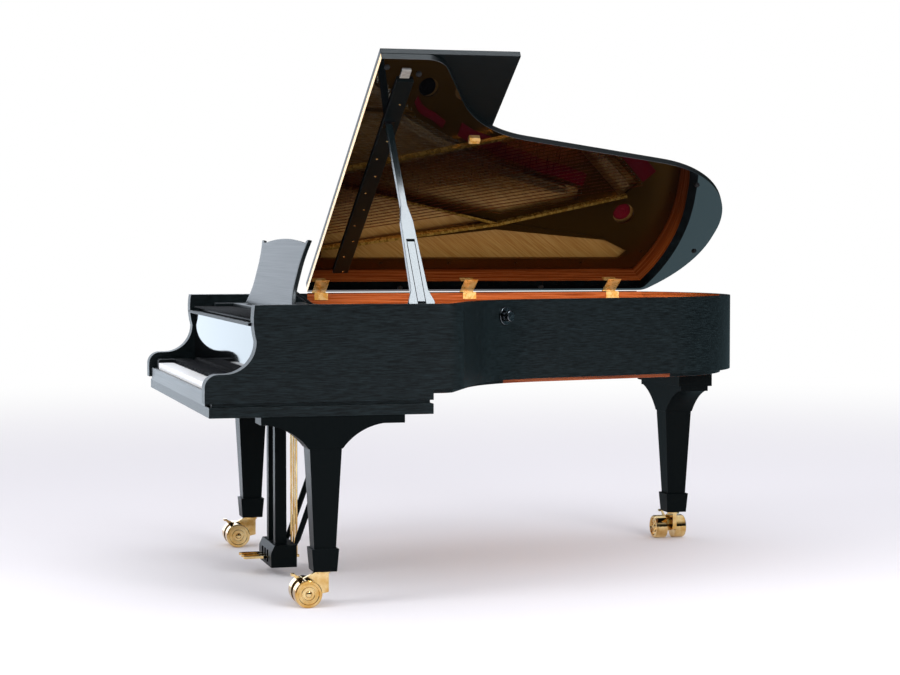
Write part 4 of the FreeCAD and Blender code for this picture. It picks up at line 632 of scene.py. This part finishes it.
# %% [markdown]
# Pins and wire are repeated hundreds of times, so each pattern has only a few dozen faces. A tail's
# pattern is a metre long, and each copy is shortened to what its string needs.

# %% Patterns
HITCH_PROFILE = ((0, 0.010), (0.0014, 0.0095), (0.002, 0.008), (0.002, -0.002), (0, -0.002))
BRIDGE_PIN_PROFILE = ((0, 0.0045), (0.001, 0.004), (0.001, -0.006), (0, -0.006))
TAIL_PROFILE = ((0, 0), (0.0008, 0), (0.0008, 1), (0, 1))
hitch_pin = pin_pattern("hitch pin", HITCH_PROFILE, 8)
bridge_pin = pin_pattern("bridge pin", BRIDGE_PIN_PROFILE, 6)
wire_tail = pin_pattern("wire tail", TAIL_PROFILE, 5)
print("patterns of", [len(pattern.polygons) for pattern in (hitch_pin, bridge_pin, wire_tail)])

# %% [markdown]
# Where the plate begins a little behind a string's end, a short tail of wire carries on to its pin.
# The search goes along the string in small steps, given in millimetres.

# %% Pins and tails
BRIDGE_TO_HITCH, PIN_SIDE, PIN_ALONG = 72 * MM, 2.2 * MM, 7 * MM
SEARCH_END, SEARCH_STEP, TAIL_LAP = 40, 3, 1
plain = [bar_ends(solid) for solid in separate_solids("plain_strings")]
wound = [bar_ends(solid) for solid in separate_solids("wound_strings")]
hitch_pins, bridge_pins, tails = bmesh.new(), bmesh.new(), bmesh.new()
reached = 0
for front, back in plain + wound:
    along = (back - front).normalized()
    side = along.cross(DOWN)
    for reach in range(0, SEARCH_END, SEARCH_STEP):
        seat = touch("iron_plate", back + along * reach * MM, DOWN)
        if seat:
            aim = UP.rotation_difference(along).to_matrix().to_4x4()
            stretch = Matrix.Diagonal((1, 1, (reach + TAIL_LAP) * MM, 1))
            start = Matrix.Translation(back - along * TAIL_LAP * MM)
            copy_to(hitch_pins, hitch_pin, Matrix.Translation(seat))
            copy_to(tails, wire_tail, start @ aim @ stretch)
            reached += 1
            break
    crossing = back - along * BRIDGE_TO_HITCH
    for way in (-1, 1):
        place = crossing + way * (along * PIN_ALONG + side * PIN_SIDE)
        copy_to(bridge_pins, bridge_pin, Matrix.Translation(place))
new_piece("hitch_pins", hitch_pins, "case", steel)
new_piece("bridge_pins", bridge_pins, "case", steel)
new_piece("string_tails", tails, "case", steel)
print(reached, "of", len(plain) + len(wound), "strings reach the plate")

# %% [markdown]
# ## Red felt
# Red felt lies on the plate under the ends of the strings and keeps them from ringing. A curve with
# a profile could run there, but it would twist. So a strip is drawn as a line of edges along the
# hitch pins, widened by extruding it sideways and thickened with solidify.

# %% Felt
FELT_THICK, FELT_LIFT, FELT_EDGE = 4.5 * MM, 0.4 * MM, 1.2 * MM
# A place below this height lies on the plate's web, and one above it on a bar.
ON_WEB = 0.9


def hitch_line(strings, between, shift, every):
    """Places on the plate beside the hitch pins of the strings that end between two sides."""
    low, high = between
    ends = sorted((back for front, back in strings if low < back.x < high),
                  key=lambda back: back.x)
    line = [touch("iron_plate", end + Vector(shift), DOWN) for end in ends[:-1:every] + ends[-1:]]
    return [place for place in line if place and place.z < ON_WEB]


def felt_band(name, line, width):
    """A strip of felt along a line of points on the plate, widened to one side."""
    band = bmesh.new()
    points = [band.verts.new(point - DOWN * FELT_LIFT) for point in line]
    edges = [band.edges.new(pair) for pair in zip(points, points[1:])]
    grown = bmesh.ops.extrude_edge_only(band, edges=edges)["geom"]
    bmesh.ops.translate(band, verts=moved(grown), vec=width)
    bmesh.ops.recalc_face_normals(band, faces=band.faces)
    upward = band.faces[0].normal.z > 0
    bmesh.ops.solidify(band, geom=band.faces[:], thickness=-FELT_THICK if upward else FELT_THICK)
    round_edges(band, corner_edges(band), FELT_EDGE)
    return new_piece(name, band, "case", red_felt)


# A strip's strings, the sides they end between, its way from the pins, its width, and its spacing.
FELTS = {
    "tenor_felt": (plain, (-0.385, -0.16), (0.03, 0, 0), (0.055, 0.012, 0), 4),
    "treble_felt": (plain, (-0.13, -0.02), (0.026, 0.01, 0), (0.03, 0.012, 0), 4),
    "bass_felt": (wound, (-0.34, -0.07), (0.005, 0.005, 0), (0.05, 0.05, 0), 3),
}
for name, (strings, between, shift, width, every) in FELTS.items():
    felt_band(name, hitch_line(strings, between, shift, every), Vector(width))

# %% [markdown]
# ## Duplex bars
# In the treble, small bars lift each trio of strings off the plate and let its end ring. They stand
# in a zigzag, a little askew. One bevelled board is enough for each, because they are seen only in
# the lid's mirror.

# %% Duplex bars
BAR_LENGTH, BAR_HALF, BAR_HEIGHT, BAR_SUNK, BAR_EDGE = 15 * MM, 3 * MM, 6 * MM, MM, 1.2 * MM
BAR_TO_PIN, BAR_STAGGER, BAR_SKEW = 22 * MM, 9 * MM, 0.35
TREBLE_FROM, STRINGS_PER_NOTE = -0.14, 3
treble = sorted((pair for pair in plain if pair[1].x > TREBLE_FROM), key=lambda pair: pair[1].x)
duplex = bmesh.new()
for count, (front, back) in enumerate(treble[1::STRINGS_PER_NOTE]):
    along = (back - front).normalized()
    ahead = BAR_TO_PIN + (count % 2) * BAR_STAGGER
    place = touch("iron_plate", back - along * ahead, DOWN)
    if place and place.z < ON_WEB:
        angle = math.atan2(along.y, along.x) - math.pi / 2 + BAR_SKEW
        turn = Matrix.Translation(place) @ Matrix.Rotation(angle, 4, "Z")
        add_board(duplex, (-BAR_LENGTH / 2, -BAR_HALF, -BAR_SUNK),
                  (BAR_LENGTH / 2, BAR_HALF, BAR_HEIGHT), BAR_EDGE, turn)
new_piece("duplex_bars", duplex, "case", nickel)

# %% [markdown]
# ## Pads in the plate's holes
# Through the round hole in the plate's tail a red felt pad shows on the soundboard. Under the hole
# in the treble lies a black pad that stands for the shade there, as painted shade. A flat disc
# would look like paint, so each is spun from a profile with turned rings.

# %% Felt pads
PAD_PROFILE = ((0, 0.004), (0.008, 0.0045), (0.011, 0.003), (0.016, 0.0045), (0.019, 0.003),
               (0.026, 0.0045), (0.036, 0.0045), (0.039, 0.002), (0.039, -0.0004), (0, -0.0004))
PADS = {
    "tail_felt": ((-0.475, 0.856, 1.0), "mahogany", red_felt),
    # The black pad is painted shade under the treble hole.
    "treble_hole_shade": ((0.065, -0.048, 1.0), "damper_black", black_felt),
}
for name, (above, slot, felt) in PADS.items():
    pad = bmesh.new()
    spin_profile(pad, PAD_PROFILE, touch("soundboard", above, DOWN), UP, steps=32)
    new_piece(name, pad, "case", felt)

# %% [markdown]
# ## Key felt
# A strip of black felt lies across the keys at the foot of the fallboard and hides where they run
# in under it. It could be padded, but the real strip is thin and stretched flat, so it is made as
# a board with soft edges.

# %% Key felt
FELT_BEHIND_SHARPS, FELT_DEPTH, KEY_CLEARANCE = 93.5 * MM, 20 * MM, 1.5 * MM
KEY_BLOCK_WIDTH, KEY_FELT_EDGE = 85 * MM, 2 * MM
sharp_front, white_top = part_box("keys_c_sharp")[0].y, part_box("keys_c")[1].z
keys_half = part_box("key_blocks")[1].x - KEY_BLOCK_WIDTH
fall_low, fall_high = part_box("fallboard")
felt_front = sharp_front + FELT_BEHIND_SHARPS
key_felt = bmesh.new()
add_board(key_felt, (-keys_half, felt_front, white_top + KEY_CLEARANCE),
          (keys_half, felt_front + FELT_DEPTH, fall_low.z - KEY_CLEARANCE), KEY_FELT_EDGE)
new_piece("key_felt", key_felt, "case", black_felt)

# %% [markdown]
# A board behind the fallboard closes the case above the keys, so that no key shows when the
# fallboard is shut. It stays clear of the keys, the tray and the fallboard's swing.

# %% Board behind the fallboard
BACK_GAP, BACK_THICK, BACK_END_GAP, BACK_EDGE = 4 * MM, 10 * MM, 12 * MM, 1.5 * MM
ABOVE_KEYS, UNDER_TRAY = 5 * MM, 4 * MM
back_front = fall_high.y + BACK_GAP
backing = bmesh.new()
add_board(backing, (fall_low.x + BACK_END_GAP, back_front, white_top + ABOVE_KEYS),
          (fall_high.x - BACK_END_GAP, back_front + BACK_THICK, tray_low.z - UNDER_TRAY), BACK_EDGE)
new_piece("fall_backing", backing, "case", shaded_upright_veneer)

# %% [markdown]
# ## Listing cloth
# A strip of black cloth lies along the spine under the hinged edge of the lid, and closes the gap
# between them. It is pressed flat between two boards, so it needs no folds.

# %% Listing
LISTING_INSET, LISTING_OUTSET, LISTING_EDGE = MM, 13 * MM, 0.6 * MM
LISTING_SUNK, LISTING_PROUD, LISTING_SHORTER = 0.5 * MM, 2.4 * MM, 0.2
rim_low, rim_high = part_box("outer_rim")
lid_low, lid_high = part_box("lid")
listing = bmesh.new()
add_board(listing, (rim_low.x + LISTING_INSET, lid_low.y, rim_high.z - LISTING_SUNK),
          (rim_low.x + LISTING_OUTSET, lid_high.y - LISTING_SHORTER, rim_high.z + LISTING_PROUD),
          LISTING_EDGE)
new_piece("spine_listing", listing, "case", black_felt)

# %% [markdown]
# ## On the underside of the lid
# Rubber buffers keep the closed lid off the rim, and brass screws hold the batten. The lid lies
# open in the frame, so a place on it is found by turning the closed place about the hinge line,
# and a ray finds the wood above it. Both are small turned shapes, so a spun profile gives them.

# %% Rubber buffers
# The line that the lid turns about, as in the frame, and where the ray starts below a closed lid.
HINGE = Vector((-0.7818, 0, 1.003))
BELOW_LID = 0.1
lid_turn = Matrix.Rotation(-LID_ANGLE, 3, "Y")


def under_lid(node, across, y):
    """The place under the lid, on a node, that lies at a closed lid's x and y."""
    start = HINGE + lid_turn @ Vector((across - HINGE.x, y, -BELOW_LID))
    return touch(node, start, -lid_down)


BUFFER_PROFILE = ((0, 0.0075), (0.0045, 0.0075), (0.006, 0.0062), (0.0085, 0.0058),
                  (0.0095, 0.0045), (0.0105, 0), (0.0105, -0.0005), (0, -0.0005))
BUFFER_PLACES = ((0.730, -0.450), (0.694, -0.330), (0.019, 0.928), (-0.466, 1.081),
                 (-0.745, 0.5), (-0.745, -0.1))
buffers = bmesh.new()
for across, y in BUFFER_PLACES:
    place = under_lid("lid", across, y)
    if place:
        spin_profile(buffers, BUFFER_PROFILE, place, lid_down)
new_piece("lid_buffers", buffers, "lid", rubber)

# %% Batten screws
SCREW_PROFILE = ((0, 0.0006), (0.0012, 0.0006), (0.0018, 0.0014), (0.0038, 0.001), (0.0045, 0),
                 (0.0045, -0.0005), (0, -0.0005))
SCREWS, FIRST_SCREW, SCREW_STEP, SCREW_ZIGZAG = 11, -0.6, 0.113, 8 * MM
batten_low, batten_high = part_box("lid_batten")
batten_middle = (batten_low.y + batten_high.y) / 2
screws = bmesh.new()
for count in range(SCREWS):
    y = batten_middle + (-1) ** count * SCREW_ZIGZAG
    place = under_lid("lid_batten", FIRST_SCREW + count * SCREW_STEP, y)
    if place:
        spin_profile(screws, SCREW_PROFILE, place, lid_down, steps=12)
new_piece("batten_screws", screws, "lid", brass)

# %% [markdown]
# ## Wheel faces
# Each brass wheel is turned with a raised tyre, a hollow and a domed hub cap. These could be three
# pieces, but one profile gives all of them, and it is spun on the outer face of each of the six
# wheels.

# %% Wheel faces
WHEEL_PROFILE = ((0, 0.0075), (0.005, 0.0072), (0.0085, 0.006), (0.0105, 0.003), (0.0115, 0.0008),
                 (0.0195, 0.0008), (0.0205, 0.0042), (0.0235, 0.0042), (0.0245, 0.0006),
                 (0.034, 0.0006), (0.0355, 0.0048), (0.0425, 0.0048), (0.0445, 0.0026),
                 (0.0445, -0.0004), (0, -0.0004))
WHEEL_AXES = {"bass": Vector((1, 0, 0)), "treble": Vector((1, 0, 0)), "rear": Vector((0, 1, 0))}
for corner, axis in WHEEL_AXES.items():
    low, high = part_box(corner + "_wheels")
    middle = (low + high) / 2
    half = (high - low).dot(axis) / 2
    faces = bmesh.new()
    for way in (-1, 1):
        spin_profile(faces, WHEEL_PROFILE, middle + axis * way * half, axis * way, steps=40)
    new_piece(corner + "_wheel_faces", faces, corner + "_wheel_set", brass)

# %% [markdown]
# ## Floor, light and camera
# A pale floor and a white background keep the eye on the piano. A curved backdrop could hide the
# horizon, but it is simpler to let the floor turn white for the camera, far off. Its far corner
# behind the tail gets a painted shade, a deeper grey that only reflections in polished wood show.

# %% Floor
FLOOR_SIZE, NEAR_FLOOR, FAR_FLOOR = 60.0, 3.0, 11.0
TAIL_CORNER, REFLECTED_SHADE_FROM, REFLECTED_SHADE_TO = (-0.64, 0.77, 0.0), 1.1, 1.5
WHITE = (1, 1, 1, 1)
floor_mesh = bmesh.new()
bmesh.ops.create_grid(floor_mesh, x_segments=1, y_segments=1, size=FLOOR_SIZE / 2)
floor = linked_object("floor", finished_mesh("floor", floor_mesh))
# A matt near-white that keeps the piano's shadow.
pale_floor, tree, shader = new_material("pale studio floor", "#f7f5f9", 0.9, Specular_IOR_Level=0.0)
floor.data.materials.append(pale_floor)
print("floor", FLOOR_SIZE, "m wide")

# %% What the floor shows to the camera and to polished wood
place = add_node(tree, "ShaderNodeTexCoord")
light_path = add_node(tree, "ShaderNodeLightPath")
away = add_node(tree, "ShaderNodeVectorMath", {0: place.outputs["Object"]}, operation="LENGTH")
fade = add_node(tree, "ShaderNodeMapRange", {"Value": away.outputs["Value"]},
                interpolation_type="SMOOTHSTEP", From_Min=NEAR_FLOOR, From_Max=FAR_FLOOR)
shown = add_node(tree, "ShaderNodeMath",
                 {0: fade.outputs[0], 1: light_path.outputs["Is Camera Ray"]}, operation="MULTIPLY")
white = add_node(tree, "ShaderNodeEmission", Color=WHITE, Strength=1.0)
blended = add_node(tree, "ShaderNodeMixShader",
                   {0: shown.outputs[0], 1: shader.outputs[0], 2: white.outputs[0]})
# Painted shade: behind the tail the floor turns a deeper grey, for reflected rays only.
behind = add_node(tree, "ShaderNodeVectorMath", {0: place.outputs["Object"]},
                  operation="DOT_PRODUCT")
behind.inputs[1].default_value = TAIL_CORNER
shade_share = add_node(tree, "ShaderNodeMapRange", {"Value": behind.outputs["Value"]},
                   From_Min=REFLECTED_SHADE_FROM, From_Max=REFLECTED_SHADE_TO)
shade_in_reflections = add_node(tree, "ShaderNodeMath",
                    {0: shade_share.outputs[0], 1: light_path.outputs["Is Glossy Ray"]},
                    operation="MULTIPLY")
# The grey-blue of that painted shade, which only reflected rays see.
reflected_shade = add_node(tree, "ShaderNodeBsdfDiffuse", Color=linear("#839fa6"))
mirrored = add_node(tree, "ShaderNodeMixShader",
                    {0: shade_in_reflections.outputs[0], 1: blended.outputs[0], 2: reflected_shade.outputs[0]})
tree.links.new(mirrored.outputs[0], tree.nodes["Material Output"].inputs["Surface"])
print("floor turns white from", NEAR_FLOOR, "to", FAR_FLOOR, "m")

# %% [markdown]
# Matt surfaces get even light from all round. Polished ones reflect a dark room with a pale
# ceiling, and the lamps that stand in it, which is what draws a black piano's shape. A photograph
# of a studio could be wrapped round the scene, but two plain tones mixed by height are enough.

# %% Studio
CEILING_FROM, CEILING_FULL = 0.3, 0.85
world = bpy.data.worlds.new("studio")
bpy.context.scene.world = world
world.use_nodes = True
tree = world.node_tree
tree.nodes.clear()
place = add_node(tree, "ShaderNodeTexCoord")
light_path = add_node(tree, "ShaderNodeLightPath")
height = add_node(tree, "ShaderNodeSeparateXYZ", {0: place.outputs["Generated"]})
upward = add_node(tree, "ShaderNodeMapRange", {"Value": height.outputs["Z"]},
                  interpolation_type="SMOOTHSTEP", From_Min=CEILING_FROM, From_Max=CEILING_FULL)
dark_wall = add_node(tree, "ShaderNodeBackground", Color=linear("#14191b"), Strength=1.0)
ceiling = add_node(tree, "ShaderNodeBackground", Color=linear("#f4f6ff"), Strength=0.9)
room = add_node(tree, "ShaderNodeMixShader",
                {0: upward.outputs[0], 1: dark_wall.outputs[0], 2: ceiling.outputs[0]})
even_light = add_node(tree, "ShaderNodeBackground", Color=linear("#f4f4f8"), Strength=0.92)
lit = add_node(tree, "ShaderNodeMixShader", {0: light_path.outputs["Is Glossy Ray"],
                                             1: even_light.outputs[0], 2: room.outputs[0]})
seen = add_node(tree, "ShaderNodeMath", {0: light_path.outputs["Is Camera Ray"],
                                         1: light_path.outputs["Is Transmission Ray"]},
                operation="ADD")
white = add_node(tree, "ShaderNodeBackground", Color=WHITE, Strength=1.0)
shown = add_node(tree, "ShaderNodeMixShader",
                 {0: seen.outputs[0], 1: lit.outputs[0], 2: white.outputs[0]})
add_node(tree, "ShaderNodeOutputWorld", {"Surface": shown.outputs[0]})
print("studio:", len(tree.nodes), "nodes")

# %% [markdown]
# Three lamps only light: a wide one on the treble side, a small one under the lid for the strings,
# and a soft one in front. Two more are only seen in reflections, as a photographer sets white
# cards: one beside the keyboard, which whitens the fallboard and the desk, and one overhead, which
# shows in the prop. One lamp for both would be simpler, but then every shine would also bleach.

# %% Lamps


def add_lamp(name, place, target, size, power, lights, reflected, colour="#ffffff"):
    """A soft rectangular lamp, turned to a target. It lights matt surfaces or is reflected."""
    lamp = bpy.data.lights.new(name, "AREA")
    lamp.shape = "RECTANGLE"
    lamp.size, lamp.size_y = size
    lamp.energy = power
    lamp.color = linear(colour)[:3]
    piece = linked_object(name, lamp)
    piece.location = place
    piece.rotation_euler = (Vector(target) - Vector(place)).to_track_quat("-Z", "Y").to_euler()
    piece.visible_camera = False
    piece.visible_diffuse = lights
    piece.visible_glossy = reflected
    print(name, power, "W")


add_lamp("treble lamp", (4.6, 1.6, 2.0), (-0.3, 0.0, 0.9), (2.2, 1.6), 130,
         lights=True, reflected=False)
add_lamp("lid lamp", (-0.58, 0.35, 1.08), (-0.59, 0.35, 0.87), (1.35, 0.22), 3.6,
         lights=True, reflected=False)
add_lamp("front lamp", (1.5, -4.5, 3.2), (0.0, -1.0, 0.7), (2.0, 2.0), 75,
         lights=True, reflected=False)
add_lamp("keyboard card", (-2.0, -1.75, 1.25), (0.0, -1.75, 1.25), (2.6, 2.5), 48,
         lights=False, reflected=True, colour="#e9f3ff")
add_lamp("overhead card", (1.95, 0.68, 5.0), (0.2, 0.0, 0.9), (1.7, 1.7), 150,
         lights=False, reflected=True, colour="#eef8ff")

# %% [markdown]
# The camera stands on the treble side, a little above the rim, and looks slightly down. Its lens
# and place were solved from the photograph's own perspective. They could be set by eye, but then
# the proportions of every piece would have to be guessed again.

# %% Camera
PHOTO_WIDTH, FOCAL_PIXELS, SENSOR = 900, 2088.9, 36.0
CAMERA_FROM_KEY_BED = Vector((7.494, -1.001, 1.200))
CAMERA_DIP, CAMERA_TURN = 2.571, 74.93
camera_data = bpy.data.cameras.new("camera")
camera_data.sensor_width = SENSOR
camera_data.sensor_fit = "HORIZONTAL"
camera_data.lens = SENSOR * FOCAL_PIXELS / PHOTO_WIDTH
camera = linked_object("camera", camera_data)
key_bed_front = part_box("key_bed")[0].y
camera.location = CAMERA_FROM_KEY_BED + Vector((0, key_bed_front, 0))
camera.rotation_euler = (math.radians(90 - CAMERA_DIP), 0, math.radians(CAMERA_TURN))
bpy.context.scene.camera = camera
bpy.context.scene.view_settings.view_transform = "Standard"
print("camera with a lens of", round(camera_data.lens, 1), "mm")
